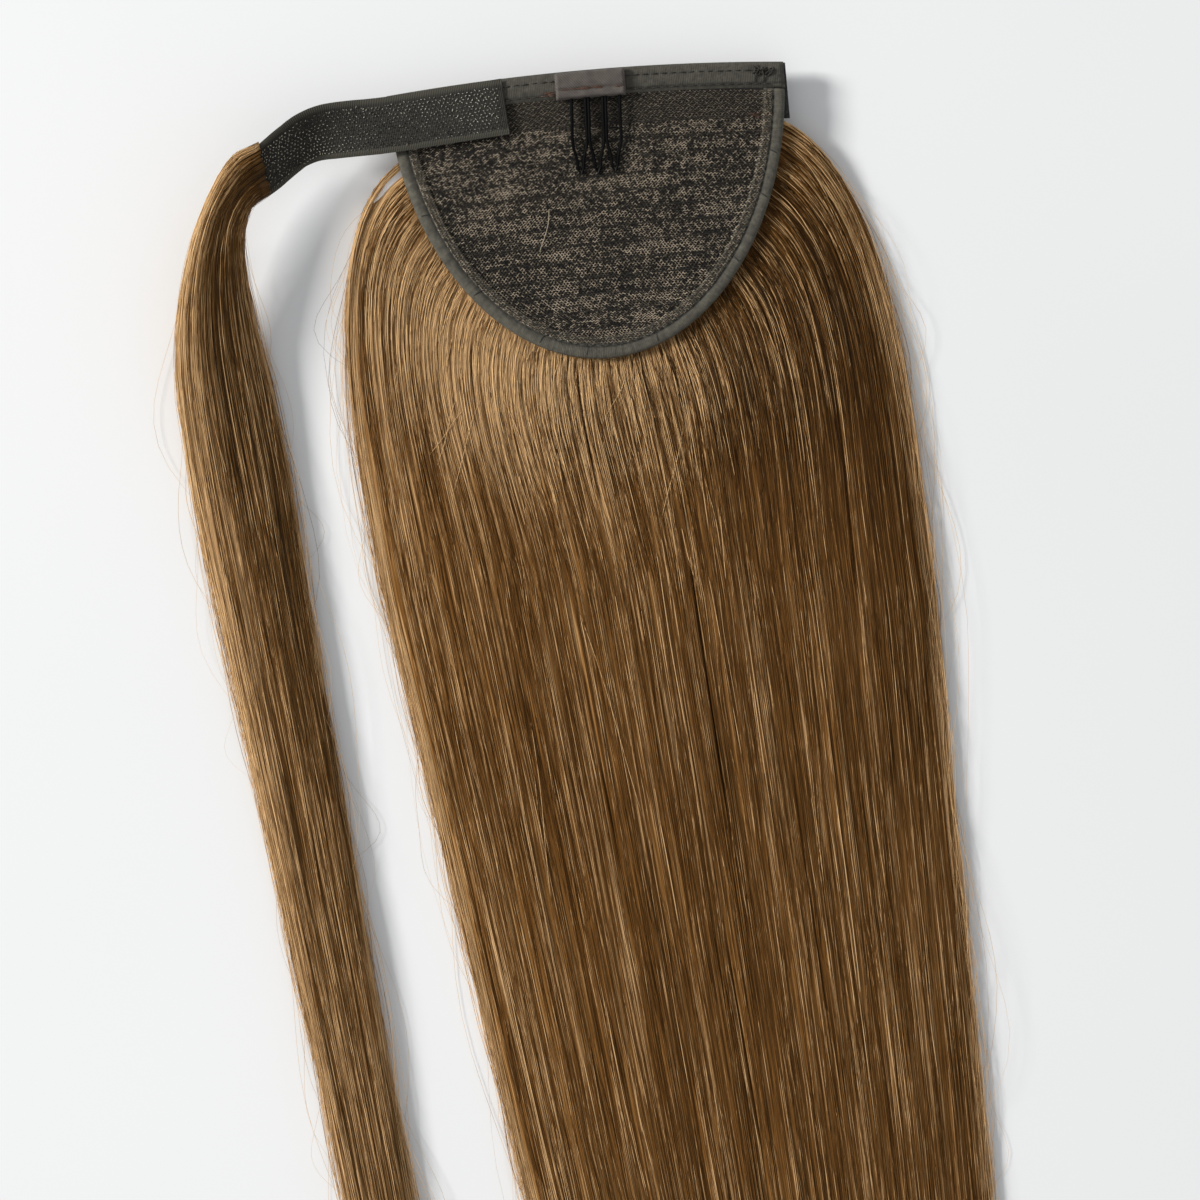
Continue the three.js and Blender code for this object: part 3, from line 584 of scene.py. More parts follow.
across = np.linspace(0, 1, 26)[:, None]
along = np.linspace(0, 1, 50)[None]
tab_u = TAB_LEFT + (TAB_RIGHT - TAB_LEFT) * along + 0 * across
tab_v = TAB_NEAR + (TAB_FAR - TAB_NEAR) * across + 0 * along
rim = np.minimum(tab_v - TAB_NEAR, TAB_FAR - tab_v)
rim = np.minimum(rim, np.minimum(tab_u - TAB_LEFT, TAB_RIGHT - tab_u))
soft = np.sqrt(1 - (1 - np.clip(rim / 0.0011, 0, 1)) ** 2)
seam = hump(tab_v, 0.0068, 0.00055)
tab_wave = 0.0002 * streaks(51, 6, 9)(across + 0 * along, along + 0 * across)
tab_over = TAB_BOTTOM + 0.0003 + (TAB_TOP - TAB_BOTTOM - 0.0003 - 0.0007 * seam + tab_wave) * soft
upper = on_base(tab_u, tab_v, tab_over)
lower = on_base(tab_u, tab_v, np.minimum(tab_over - 0.0003, TAB_BOTTOM + 0.0013 * soft))
points, faces = shell(upper, lower)
new_piece("comb_sleeve", points, faces, twill, replaces=["comb_tab"])

russet = Finish("russet_thread", Roughness=0.6)
ply = russet.noise((1500, 1500, 1500), detail=1)
russet_colour = russet.ramp(ply, (0.3, (0.055, 0.024, 0.015)), (0.7, (0.16, 0.075, 0.045)))
russet.wire(russet_colour, russet.shader.inputs["Base Color"])


def hand_stitches(count, u_range, v_range, over, length, seed):
    """Loose irregular hand stitches, lying mostly along u."""
    random = np.random.default_rng(seed)
    share = np.linspace(0, 1, 7)
    lengths, slopes = random.normal(length, 0.3 * length, count), random.normal(0, 0.0004, count)
    u = random.uniform(*u_range, count)[:, None] + lengths[:, None] * (share - 0.5)
    v = random.uniform(*v_range, count)[:, None] + slopes[:, None] * (share - 0.5)
    height = over + 0.0003 * np.sin(np.pi * share) + random.uniform(-0.0001, 0.0002, count)[:, None]
    return on_base(u, v, height)


tab_rows = np.concatenate([
    hand_stitches(16, (TAB_LEFT, TAB_RIGHT - 0.002), (0.0063, 0.0072), TAB_TOP - 0.0006, 0.0026, 52),
    hand_stitches(9, (TAB_LEFT - 0.0042, TAB_LEFT), (0.0068, 0.0082), FOLD_REACH, 0.0028, 53),
    hand_stitches(10, (0.058, 0.067), (0.0183, 0.0196), 0.0009, 0.0018, 54),
    hand_stitches(7, (0.060, 0.066), (0.0235, 0.0255), 0.0009, 0.0015, 55),
])
points, faces = yarns(tab_rows, 0.00013, sides=4)
new_piece("tab_stitches", points, faces, russet)

# The hook strap: stiff woven tape, its middle a field of small moulded hooks and its two edges plain and
# ribbed. It is sewn over the top tape at the left corner and falls in a bend towards its free end.
STRAP_LENGTH = 0.092
STRAP_WIDTH = 0.020
STRAP_THICK = 0.0012
STRAP_START = -0.029
STRAP_END_HEIGHT = 0.019
SELVEDGE = 0.0021
STRAP_AT = (0, 0.42, 0.56, 0.68, 0.76, 0.84, 0.92, 1)
STRAP_HEADING = (9, 9, 5, 8, 22, 38, 43, 36)
STRAP_ROLL = (0, 0, 3, 14, 29, 40, 38, 28)
STRAP_SKEW = (0, 0, 0, 0, 0, 6, 18, 28)
STRAP_SETTLE = (0, 0, 0.02, 0.1, 0.25, 0.5, 0.78, 1)


def follow(start, length, at, headings, steps):
    """A line over the table: its places, and its headings in radians below the level, to the left."""
    shares = np.arange(steps + 1) / steps
    middle = np.radians(np.interp((shares[1:] + shares[:-1]) / 2, at, headings))
    places = start + np.r_[0, np.cumsum(-np.exp(1j * middle))] * length / steps
    return places, np.radians(np.interp(shares, at, headings))


strap_steps = 300
sewn_v = STRAP_WIDTH / 2
strap_start = BASE + (STRAP_START + 1j * (bowed(STRAP_START, sewn_v) - sewn_v)) * BASE_TURN
strap_place, strap_heading = follow(strap_start, STRAP_LENGTH, STRAP_AT, STRAP_HEADING, strap_steps)
strap_shares = np.linspace(0, 1, strap_steps + 1)
strap_roll = np.radians(np.interp(strap_shares, STRAP_AT, STRAP_ROLL))
strap_skew = np.radians(np.interp(strap_shares, STRAP_AT, STRAP_SKEW))
strap_level = net_height(STRAP_START, 0) + FOLD_REACH + CLOTH_GAP + STRAP_THICK / 2
strap_settle = np.interp(strap_shares, STRAP_AT, STRAP_SETTLE)
strap_over = strap_level + (STRAP_END_HEIGHT - strap_level) * strap_settle


def on_strap(at, side, over):
    """Points of the strap: at a share of its length, side metres to its left, over its middle."""
    where = np.asarray(at) * strap_steps
    ruler = np.arange(strap_steps + 1)
    place = np.interp(where, ruler, strap_place.real) + 1j * np.interp(where, ruler, strap_place.imag)
    across = np.interp(where, ruler, strap_heading) - np.interp(where, ruler, strap_skew)
    roll = np.interp(where, ruler, strap_roll)
    flat = place + (side * np.cos(roll) - over * np.sin(roll)) * 1j * np.exp(1j * across)
    height = np.interp(where, ruler, strap_over) + side * np.sin(roll) + over * np.cos(roll)
    return np.stack([flat.real, flat.imag, height], axis=-1)


hook_cloth = Finish("hook_ground", Roughness=0.8)
rib_wires = {"Vector": hook_cloth.place((1, 1, 1), uv=True), "Scale": 1.0, "Distortion": 0.4}
ribs = hook_cloth.node("TexWave", rib_wires)
dust = hook_cloth.noise((420, 420, 420), detail=4)
ground = hook_cloth.ramp(dust, (0.3, (0.0066, 0.0059, 0.0036)), (0.75, (0.022, 0.0198, 0.0123)))
edge_place = hook_cloth.node("Attribute", attribute_name="tone").outputs["Fac"]
ribbed = hook_cloth.ramp(ribs.outputs["Fac"], (0.2, (0.018, 0.0165, 0.0105)), (0.8, (0.064, 0.059, 0.04)))
hook_cloth.wire(hook_cloth.mix(edge_place, ground, ribbed), hook_cloth.shader.inputs["Base Color"])
hook_cloth.wire(hook_cloth.relief(ribs.outputs["Fac"], 0.0001), hook_cloth.shader.inputs["Normal"])

strap_rows, strap_columns = 121, 25
at = np.linspace(0, 1, strap_rows)[:, None]
side = np.linspace(0.5, -0.5, strap_columns)[None] * STRAP_WIDTH
rim = STRAP_WIDTH / 2 - np.abs(side) + 0 * at
ends = np.minimum(at, 1 - at) * STRAP_LENGTH
round_edge = np.sqrt(1 - (1 - np.clip(np.minimum(rim, ends) / 0.0005, 0, 1)) ** 2)
sewn = hump(ends, 0.0016, 0.0004) + 0.6 * hump(rim, SELVEDGE, 0.0003)
top = STRAP_THICK / 2 * (0.55 + 0.3 * (rim < SELVEDGE)) * round_edge - 0.0002 * sewn
upper = on_strap(at + 0 * side, side + 0 * at, top)
lower = on_strap(at + 0 * side, side + 0 * at, -STRAP_THICK / 2 * round_edge)
points, faces = shell(upper, lower)
strap_uv = np.stack([at * STRAP_LENGTH * RIB_SCALE + 0 * side, side * 200 + 0 * at], axis=-1).reshape(-1, 2)
ribbed_edge = np.clip((SELVEDGE - rim) / 0.0004, 0, 1).ravel()
new_piece(
    "hook_tape", points, faces, hook_cloth, replaces=["hook_strap"],
    uv=np.concatenate([strap_uv, strap_uv]), tone=np.concatenate([ribbed_edge, ribbed_edge]),
)

HOOK_PITCH = 0.0015
random = np.random.default_rng(61)
hook_at, hook_side = np.meshgrid(
    np.arange(0.0022, STRAP_LENGTH - 0.001, HOOK_PITCH),
    np.arange(-STRAP_WIDTH / 2 + SELVEDGE + 0.0003, STRAP_WIDTH / 2 - SELVEDGE, HOOK_PITCH * 0.8),
)
hook_at = hook_at + np.where(np.arange(len(hook_at))[:, None] % 2, HOOK_PITCH / 2, 0)
hook_at = (hook_at + random.normal(0, 0.00014, hook_at.shape)).ravel()
hook_side = (hook_side + random.normal(0, 0.00014, hook_side.shape)).ravel()
bend = np.linspace(0, 1, 6)
lean = np.where(random.random(len(hook_at)) < 0.5, 1, -1)[:, None]
curl = 0.00062 * np.sin(np.pi * bend) + 0.00025
reach_at = (hook_at[:, None] + lean * 0.0005 * (bend - 0.3)) / STRAP_LENGTH
reach_side = hook_side[:, None] + random.normal(0, 0.00035, (len(hook_at), 1)) * bend
hook_paths = on_strap(np.clip(reach_at, 0, 1), reach_side, curl + 0 * reach_at)
points, faces = yarns(hook_paths, 0.00014)
nylon = Finish("nylon_hooks", Roughness=0.35)
# The pale specks are painted glints on the hooks, gathered in broad patches.
glint = nylon.noise((700, 700, 700), detail=2, roughness=0.8)
glint_patches = nylon.noise((60, 60, 60), detail=1)
glint = nylon.node("Math", {0: glint_patches, 1: 0.5, 2: glint}, operation="MULTIPLY_ADD").outputs[0]
nylon_colour = nylon.ramp(glint, (0.67, (0.032, 0.029, 0.019)), (0.92, (0.7, 0.67, 0.55)))
nylon.wire(nylon_colour, nylon.shader.inputs["Base Color"])
new_piece("hooks", points, faces, nylon)

# The fall: many thousand straight brown hairs, sewn to the net in rows, that come out all round the curved
# edge and fall together. The body carries the relief of the locks, and separate hairs lie over it.
FALL_LENGTH = 0.505
FALL_WIDTH = 0.198
FALL_HEIGHT = 0.0135
FALL_EDGE = 0.002
FALL_LOCKS = 18
FIRST_ROOT = math.radians(-76)
LAST_ROOT = math.radians(78)
ROOT_LINE = 0.0225
UNDER_NET = 0.1
GATHERED = 0.42
BELOW_WEFTS = NET_THICK / 2 + 2 * CLOTH_GAP + TAPE_THICK
RISE_AT = (0, 0.1, 0.17, 0.26, 0.36, 0.5, 0.65, 0.8, 0.93, 1)
RISE = (0.66, 0.67, 0.8, 0.95, 1, 0.95, 0.85, 0.7, 0.42, 0.1)


def fall_place(at, share):
    """Where on the table a hair of the fall is. share is its place from the left root to the right one."""
    angle = blend(FIRST_ROOT, LAST_ROOT, share)
    root_u, root_v = oval(angle, 0)
    root = BASE + (root_u + 1j * (bowed(root_u, root_v) - root_v)) * BASE_TURN
    root_half = BASE_HALF_WIDTH * math.sin(-FIRST_ROOT) * 0.9
    inner_u = blend(-root_half, root_half, share)
    inner = BASE + (inner_u + 1j * (bowed(inner_u, ROOT_LINE) - ROOT_LINE)) * BASE_TURN
    way_out = (np.sin(angle) / BASE_HALF_WIDTH - 1j * np.cos(angle) / BASE_DEPTH) * BASE_TURN
    way_out = way_out / np.abs(way_out) - 0.4j
    way_out = way_out / np.abs(way_out)
    gather = BASE + FALL_WIDTH * (0.1366 + share - 0.5) - 0.3677j * FALL_LENGTH
    tip = BASE + FALL_WIDTH * (0.4006 + 0.743 * (share - 0.5)) - 1j * FALL_LENGTH
    down = blend(0.19, 0.15, share) - 1j
    down = down / np.abs(down)
    span = np.abs(gather - root)
    pull = np.clip((at - UNDER_NET) / (GATHERED - UNDER_NET), 0, 1)
    first, second = root + 0.25 * span * way_out, gather - 0.38 * span * down
    curve = (1 - pull) ** 3 * root + 3 * (1 - pull) ** 2 * pull * first
    curve = curve + 3 * (1 - pull) * pull**2 * second + pull**3 * gather
    rest = np.clip((at - GATHERED) / (1 - GATHERED), 0, 1)
    straight = blend(gather, tip, rest)
    bent = gather + down * rest * np.abs(tip - gather)
    lower = blend(straight, bent, 0.5 * rest * (1 - rest))
    free = np.where(at < GATHERED, curve, lower)
    return np.where(at < UNDER_NET, blend(inner, root, at / UNDER_NET), free)


fall_locks = streaks(71, 5, 19)
fall_tresses = streaks(72, 9, 62)
fall_strands = streaks(73, 20, 210)
fall_hairs = streaks(74, 26, 560)
random = np.random.default_rng(75)
slits = np.sort(random.uniform(0.03, 0.97, 60))
slit_lengths = random.uniform(0.012, 0.055, 60)
PARTINGS = (
    (0.432, 0.105, 0.32, 0.0024), (0.565, 0.37, 0.6, 0.0022), (0.77, 0.12, 0.22, 0.0016),
    (0.245, 0.14, 0.24, 0.0012), (0.52, 0.62, 0.80, 0.0012), (0.34, 0.45, 0.66, 0.0011),
    (0.70, 0.52, 0.72, 0.0012), (0.86, 0.25, 0.45, 0.0011),
)


def partings(at, share):
    """The depth of the partings between the locks at a place, in metres."""
    depths = 0 * at
    for place, first, last, depth in PARTINGS:
        middle = place + 0.004 * np.sin(9 * at)
        along = ease(at, first, first + 0.03) * (1 - ease(at, last - 0.08, last))
        depths = depths + depth * hump(share, middle, 0.0022) * along
    return depths


def fall_relief(at, share):
    """The hair's own relief over or under the crown of the fall, in metres."""
    relief = 0.0005 * fall_locks(at, share) + 0.00014 * fall_tresses(at, share)
    relief = relief + 0.0001 * fall_strands(at, share) + 0.00012 * fall_hairs(at, share)
    for place, length in zip(slits, slit_lengths):
        open_end = 1 - ease(at, UNDER_NET + 0.2 * length, UNDER_NET + length)
        relief = relief - 0.0022 * hump(share, place, 0.0011) * open_end
    return relief - partings(at, share)


def fall_crown(at, share):
    """The smooth height of the fall over the table."""
    side = np.clip(np.abs(2 * share - 1), 0, 1)
    rise = FALL_HEIGHT * np.interp(at, RISE_AT, RISE)
    edge = np.minimum(FALL_EDGE, rise)
    loose = blend(edge, np.maximum(rise, edge), (1 - side**2.2) ** 0.6)
    flat = (fall_place(at, share) - BASE) / BASE_TURN
    covered = np.where(at > UNDER_NET, EDGE_HEIGHT, net_height(flat.real, -flat.imag)) - BELOW_WEFTS
    return blend(covered, loose, ease(at, UNDER_NET, 0.2))


def fall_point(at, share, over):
    """Points over the fall's surface, which includes its relief."""
    place = fall_place(at, share)
    side = np.clip(np.abs(2 * share - 1), 0, 1)
    free = ease(at, UNDER_NET, UNDER_NET + 0.012) * np.sqrt(1 - side**4)
    height = fall_crown(at, share) + fall_relief(at, share) * free + over
    return np.stack([place.real, place.imag, np.maximum(height, 0.0004)], axis=-1)


fall_shades = streaks(76, 3, 30)
fall_clumps = streaks(77, 6, 110)


def fall_tone(at, share):
    """How dark or pale the hair is: painted highlight where it comes out at the left, below the middle of
    the base and along both rims, painted shade at the right and in the partings, and a random tone of its
    own.
    """
    # Painted highlight: paler where the hair comes out at the left, just below the middle of the base's
    # edge, lower down at the left, and along the right rim.
    painted_highlight = 0.74 * hump(share, 0.25, 0.155) * hump(at, 0.16, 0.12)
    painted_highlight = painted_highlight + 0.3 * hump(share, 0.47, 0.15) * hump(at, 0.12, 0.06)
    painted_highlight = painted_highlight + 0.06 * hump(share, 0.06, 0.12) * ease(at, 0.3, 0.5)
    painted_highlight = painted_highlight + 0.42 * ease(share, 0.92, 1) * hump(at, 0.2, 0.14)
    # Painted shade: darker at the right, near the base.
    painted_shade = 0.3 * ease(share, 0.56, 0.72) * (1 - ease(at, 0.25, 0.5)) * (1 - 1.1 * ease(share, 0.92, 1))
    # A thin pale rim along the left edge, painted light through the thin hairs.
    rim = 0.5 * hump(share, 0, 0.008)
    mixed = 0.10 * fall_shades(at, share) + 0.09 * fall_clumps(at, share)
    # The partings are also painted dark, as painted shade; the mixed streaks are the hair's own random tone.
    return 0.5 + painted_highlight - painted_shade + rim + mixed - 170 * partings(at, share)


def hair_finish(name, streak_scale, darkest=(0.036, 0.0125, 0.0018), dark=(0.11, 0.042, 0.0065)):
    """Straight glossy hair. The map's u runs across the hairs and its v along them."""
    hair = Finish(name, Roughness=0.42, Anisotropic=0.9, IOR=1.55)
    hair.shader.inputs["Specular IOR Level"].default_value = 0.34
    hair.shader.inputs["Specular Tint"].default_value = (1, 0.76, 0.46, 1)
    tone = hair.node("Attribute", attribute_name="tone").outputs["Fac"]
    fine = hair.noise((streak_scale, 13, 1), detail=3, uv=True, roughness=0.65)
    broad = hair.noise((streak_scale / 4, 5, 1), detail=3, uv=True)
    share = hair.node("Math", {0: fine, 1: 0.85, 2: -0.12}, operation="MULTIPLY_ADD").outputs[0]
    share = hair.node("Math", {0: broad, 1: 0.45, 2: share}, operation="MULTIPLY_ADD").outputs[0]
    share = hair.node("Math", {0: tone, 1: 0.5, 2: share}, operation="MULTIPLY_ADD").outputs[0]
    colour = hair.ramp(
        share, (0.45, darkest), (0.65, dark), (0.8, (0.225, 0.1, 0.0225)),
        (1.0, (0.74, 0.485, 0.24)),
    )
    hair.wire(colour, hair.shader.inputs["Base Color"])
    hair.wire(hair.relief(fine, 0.0003, 0.9), hair.shader.inputs["Normal"])
    tangent = hair.node("Tangent", direction_type="UV_MAP", uv_map="flow")
    hair.wire(tangent.outputs["Tangent"], hair.shader.inputs["Tangent"])
    return hair


def shortfall(share, locks):
    """How much shorter a lock's tip is than the longest, as a share of the length."""
    number = np.floor(np.clip(share, 0, 1 - 1e-6) * locks)
    return 0.035 * (0.5 + 0.5 * np.sin(2.4 * number))


def tip_at(share, locks):
    """Where along the full length the hair ends, once the tips are cut back to pointed locks."""
    furrow = np.cos(np.pi * share * locks) ** 2
    return 1 - 0.06 * furrow - shortfall(share, locks)


def cut_back(at, share, locks):
    """The shares of the way along the hair once the tips are cut back to locks."""
    return at - (1 - tip_at(share, locks)) * at**8


fall_hair = hair_finish("fall_hair", 600)
rows = np.concatenate([
    np.linspace(0, 0.09, 5), np.linspace(0.1, 0.2, 26), np.linspace(0.205, 0.42, 30),
    np.linspace(0.43, 0.93, 34), np.linspace(0.94, 1, 10),
])[:, None]
WISP = 0.018
left_rim = WISP * (1 - ease(rows, 0.125, 0.165)) * ease(rows, 0.08, 0.1)
share = left_rim + (1 - left_rim) * np.linspace(0, 1, 601)[None]
at = cut_back(rows + 0 * share, share, FALL_LOCKS)
upper = fall_point(at, share, -0.0002)
high, wide = share.shape
around = rim_of(high, wide)
lower = upper.reshape(-1, 3)[around] * (1, 1, 0)
ring = np.arange(len(around)) + high * wide
walls = np.stack([around, np.roll(around, -1), np.roll(ring, -1), ring], axis=-1)
uv = np.stack([share, at], axis=-1).reshape(-1, 2)
tones = (fall_tone(at, share) - 0.05).ravel()
# The body's side walls darken down to the table, as painted shade.
new_piece(
    "hair_fall_body", np.concatenate([upper.reshape(-1, 3), lower]),
    [grid_faces(high, wide)[:, ::-1], walls, ring[None]], fall_hair, replaces=["hair_fall"],
    uv=np.concatenate([uv, uv[around] + (0.012, 0)]), tone=np.concatenate([tones, tones[around] - 0.5]),
)


HAIR_POINTS = 10
STRAY_POINTS = 14


def reach_of(random, start, shares, locks, longest, shortest=0.25):
    """Random starts and lengths for hairs, few of which reach far past the tips of their lock."""
    last = np.minimum(tip_at(shares, locks) + random.exponential(0.012, len(shares)), 0.995)
    start = np.minimum(start, last - 0.05)
    length = random.uniform(shortest, 1, len(shares)) * longest
    return start[:, None], np.minimum(length, last - start)[:, None]


def loose_hairs(random, start, shares, locks, point, wander, lift, longest, shortest=0.25):
    """Paths of separate hairs that lie over a body of hair and dip back into it at their ends. Each has its
    own start and share. Returns the paths, and the places along and across of their points."""
    ruler = np.linspace(0, 1, HAIR_POINTS)
    count = len(shares)
    start, length = reach_of(random, start, shares, locks, longest, shortest)
    at = start + length * ruler**1.15
    drift = random.normal(0, 1, count)[:, None] * (ruler - 0.3 * (shortest < 1))
    waves = np.sin(ruler * random.uniform(2, 7, count)[:, None] + random.uniform(0, 6, count)[:, None])
    share = shares[:, None] + wander * (drift + 0.35 * waves)
    over = lift * np.abs(random.normal(0, 1, count))[:, None] * np.sin(np.pi * ruler) ** 0.7 + 0.00004
    over = over - 0.0007 * (2 * ruler - 1) ** 10
    return point(at, share, over), at, share


def hair_strands(name, random, hairs, radius, finish, tone, spread=0.17):
    """A piece of separate hairs, each with a tone of its own beside that of its place."""
    paths, at, share = hairs
    count, steps = at.shape
    thin = 1 - 0.75 * np.linspace(-1, 1, steps) ** 8
    points, faces = yarns(paths, radius * thin * random.uniform(0.6, 1.5, count)[:, None])
    tones = random.normal(0, spread, count)[:, None] * (1 + 2.2 * hump(at[:, :1], 0.11, 0.05))
    tones = tones + tone(at, share)
    uv = np.repeat(np.stack([share, at], axis=-1).reshape(-1, 2), 3, axis=0)
    return new_piece(name, points, faces, finish, uv=uv, tone=np.repeat(tones.ravel(), 3))


for number in range(3):
    random = np.random.default_rng(81 + number)
    count = 2150
    start = random.uniform(0.02, 0.9, count)
    start[: count // 3] = random.uniform(0.085, 0.12, count // 3)
    shares = random.uniform(0.028, 0.996, count)
    start = np.maximum(start, 0.085)
    hairs = loose_hairs(random, start, shares, FALL_LOCKS, fall_point, 0.006, 0.0003, 0.23)
    hairs = hairs[0], hairs[1], np.clip(hairs[2], 0.0005, 0.9995)
    hair_strands("fall_hairs_" + str(number + 1), random, hairs, 0.00012, fall_hair, fall_tone)

# A wisp leaves the first root by itself and comes back to the fall lower down. Fine hairs stray along both
# sides, and some spring out in wide arcs over the table.
random = np.random.default_rng(84)
shares = np.abs(random.normal(0.003, 0.0032, 70)) + 0.0005
start = np.full(70, 0.085)
hairs = loose_hairs(random, start, shares, FALL_LOCKS, fall_point, 0.003, 0.0008, 0.25, shortest=0.5)
hair_strands("side_wisp", random, hairs, 0.00012, fall_hair, lambda at, share: 0.75 + 0 * at)


def stray_hairs(random, shares, start, locks, outward, point, longest, spring, height):
    """Paths of hairs beside a body of hair. outward is -1 to the left and 1 to the right, and spring is how
    far they stand off it."""
    ruler = np.linspace(0, 1, STRAY_POINTS)
    count = len(shares)
    start, length = reach_of(random, start, shares, locks, longest)
    at = start + length * ruler
    bulge = np.sin(np.pi * ruler ** random.uniform(0.8, 2.5, count)[:, None])
    off = spring * np.minimum(random.exponential(1, count), 2.2)[:, None] * bulge
    turns, offset = random.uniform(3, 9, count)[:, None], random.uniform(0, 6, count)[:, None]
    curl = 0.25 * off * np.sin(ruler * turns + offset)
    paths = point(at, shares[:, None] + 0 * at, 0)
    paths[:, :, 0] += outward * (off + curl)
    rest = random.uniform(0.0005, height, count)[:, None]
    paths[:, :, 2] = np.maximum(0.0003, blend(paths[:, :, 2], rest, np.clip(off / 0.003, 0, 1)))
    return paths, at, np.clip(shares[:, None] + 0 * at, 0, 1)


# Stray and flyaway hairs are pale: painted light through the thin hairs.
def pale_edge(at, share):
    return 0.95 + 0 * at


random = np.random.default_rng(85)
count = 640
left = random.random(count) < 0.62
shares = np.where(left, random.uniform(0, 0.02, count), random.uniform(0.98, 1, count))
start = random.uniform(0.11, 0.85, count)
outward = np.where(left, -1, 1)[:, None]
hairs = stray_hairs(random, shares, start, FALL_LOCKS, outward, fall_point, 0.3, 0.0013, 0.004)
hair_strands("fall_edge_hairs", random, hairs, 0.000085, fall_hair, pale_edge)
count = 150
left = random.random(count) < 0.5
shares = np.where(left, random.uniform(0, 0.03, count), random.uniform(0.97, 1, count))
high_up = random.random(count) < 0.5
start = np.where(high_up, random.uniform(0.1, 0.2, count), random.uniform(0.2, 0.8, count))
outward = np.where(left, -1, 1)[:, None]
hairs = stray_hairs(random, shares, start, FALL_LOCKS, outward, fall_point, 0.35, 0.005, 0.006)
hair_strands("fall_flyaways", random, hairs, 0.00005, fall_hair, pale_edge)

# A few hairs cross the others, most of them pale ones.
CROSSING = (
    ((0.303, 0.142), (0.235, 0.235), 1.15), ((0.31, 0.152), (0.228, 0.222), 1.05),
    ((0.33, 0.17), (0.21, 0.27), 0.9), ((0.16, 0.44), (0.23, 0.43), 0.95), ((0.21, 0.60), (0.33, 0.53), 0.8),
    ((0.43, 0.35), (0.56, 0.40), 0.9), ((0.19, 0.30), (0.29, 0.34), 1.0), ((0.50, 0.22), (0.62, 0.19), 1.0),
    ((0.13, 0.52), (0.2, 0.47), 0.9),
)
ruler = np.linspace(0, 1, HAIR_POINTS)
crossing_at, crossing_share, crossing_tone = [], [], []
for (first_at, first_share), (last_at, last_share), tone in CROSSING:
    crossing_at.append(blend(first_at, last_at, ruler))
    crossing_share.append(blend(first_share, last_share, ruler) + 0.003 * np.sin(5 * ruler))
    crossing_tone.append(np.full(HAIR_POINTS, tone))
over = 0.0011 * np.sin(np.pi * ruler) ** 0.5 - 0.0002
points, faces = yarns(fall_point(np.array(crossing_at), np.array(crossing_share), over), 0.00012)
crossing_uv = np.stack([np.array(crossing_share), np.array(crossing_at)], axis=-1).reshape(-1, 2)
new_piece(
    "crossing_hairs", points, faces, fall_hair,
    uv=np.repeat(crossing_uv, 3, axis=0), tone=np.repeat(np.array(crossing_tone).ravel(), 3),
)

# The wrap lock: a long thin lock sewn over the strap's free end, which the wearer winds round the ponytail.
# It is gathered over the strap, turns down, and comes to lie on the table.
LOCK_LENGTH = 0.482
LOCK_WIDTH = 0.035
LOCK_HEIGHT = 0.010
LOCK_STRANDS = 6
LOCK_EDGE = 0.0006
LOCK_AT = (0, 0.022, 0.05, 0.075, 0.12, 0.17, 0.24, 0.34, 0.5, 0.68, 0.84, 0.94, 1)
LOCK_HEADING = (36, 51, 77, 84, 93, 99, 100, 101, 101, 101, 101, 100, 100)
LOCK_SKEW = (28, 24, 16, 6, 0, 0, 0, 0, 0, 0, 0, 0, 0)
LOCK_WIDE = (0.51, 0.47, 0.49, 0.58, 0.79, 0.95, 1, 0.93, 0.83, 0.72, 0.66, 0.56, 0.4)
LOCK_HIGH = (0.55, 0.72, 0.85, 0.95, 1, 1, 0.96, 0.9, 0.82, 0.74, 0.6, 0.38, 0.08)
LOCK_LIFT = (0.82, 0.82, 0.76, 0.66, 0.44, 0.23, 0.04, 0, 0, 0, 0, 0, 0)
LOCK_BANK = (0.5, 0.5, 0.5, 0.5, 0.42, 0.22, 0.07, 0, 0, 0, 0, 0, 0)
lock_steps = 400
back_steps = 12
forward = -np.exp(1j * strap_heading[-1])
lock_start = strap_place[-1] + forward * CLOTH_GAP / math.cos(strap_skew[-1])
lock_line, lock_heading = follow(lock_start, LOCK_LENGTH, LOCK_AT, LOCK_HEADING, lock_steps)
lock_skew = np.radians(np.interp(np.arange(lock_steps + 1) / lock_steps, LOCK_AT, LOCK_SKEW))
lock_across = lock_heading - lock_skew
back = 1 - np.arange(back_steps, 0, -1) * LOCK_LENGTH / lock_steps / STRAP_LENGTH
on_line = on_strap(back, 0, 0)
lock_line = np.r_[on_line[:, 0] + 1j * on_line[:, 1], lock_line]
lock_across = np.r_[np.interp(back, strap_shares, strap_heading - strap_skew), lock_across]
lock_locks = streaks(91, 5, 7)
lock_tresses = streaks(92, 7, 22)
lock_strands = streaks(93, 12, 66)
lock_hairs = streaks(94, 26, 160)


def root_gaps(at, share):
    """Dark gaps between the hairs where the lock starts: from 0 to about 0.7."""
    return np.clip(lock_strands(at, share) - 0.3, 0, 1) * hump(at, 0.002, 0.035)


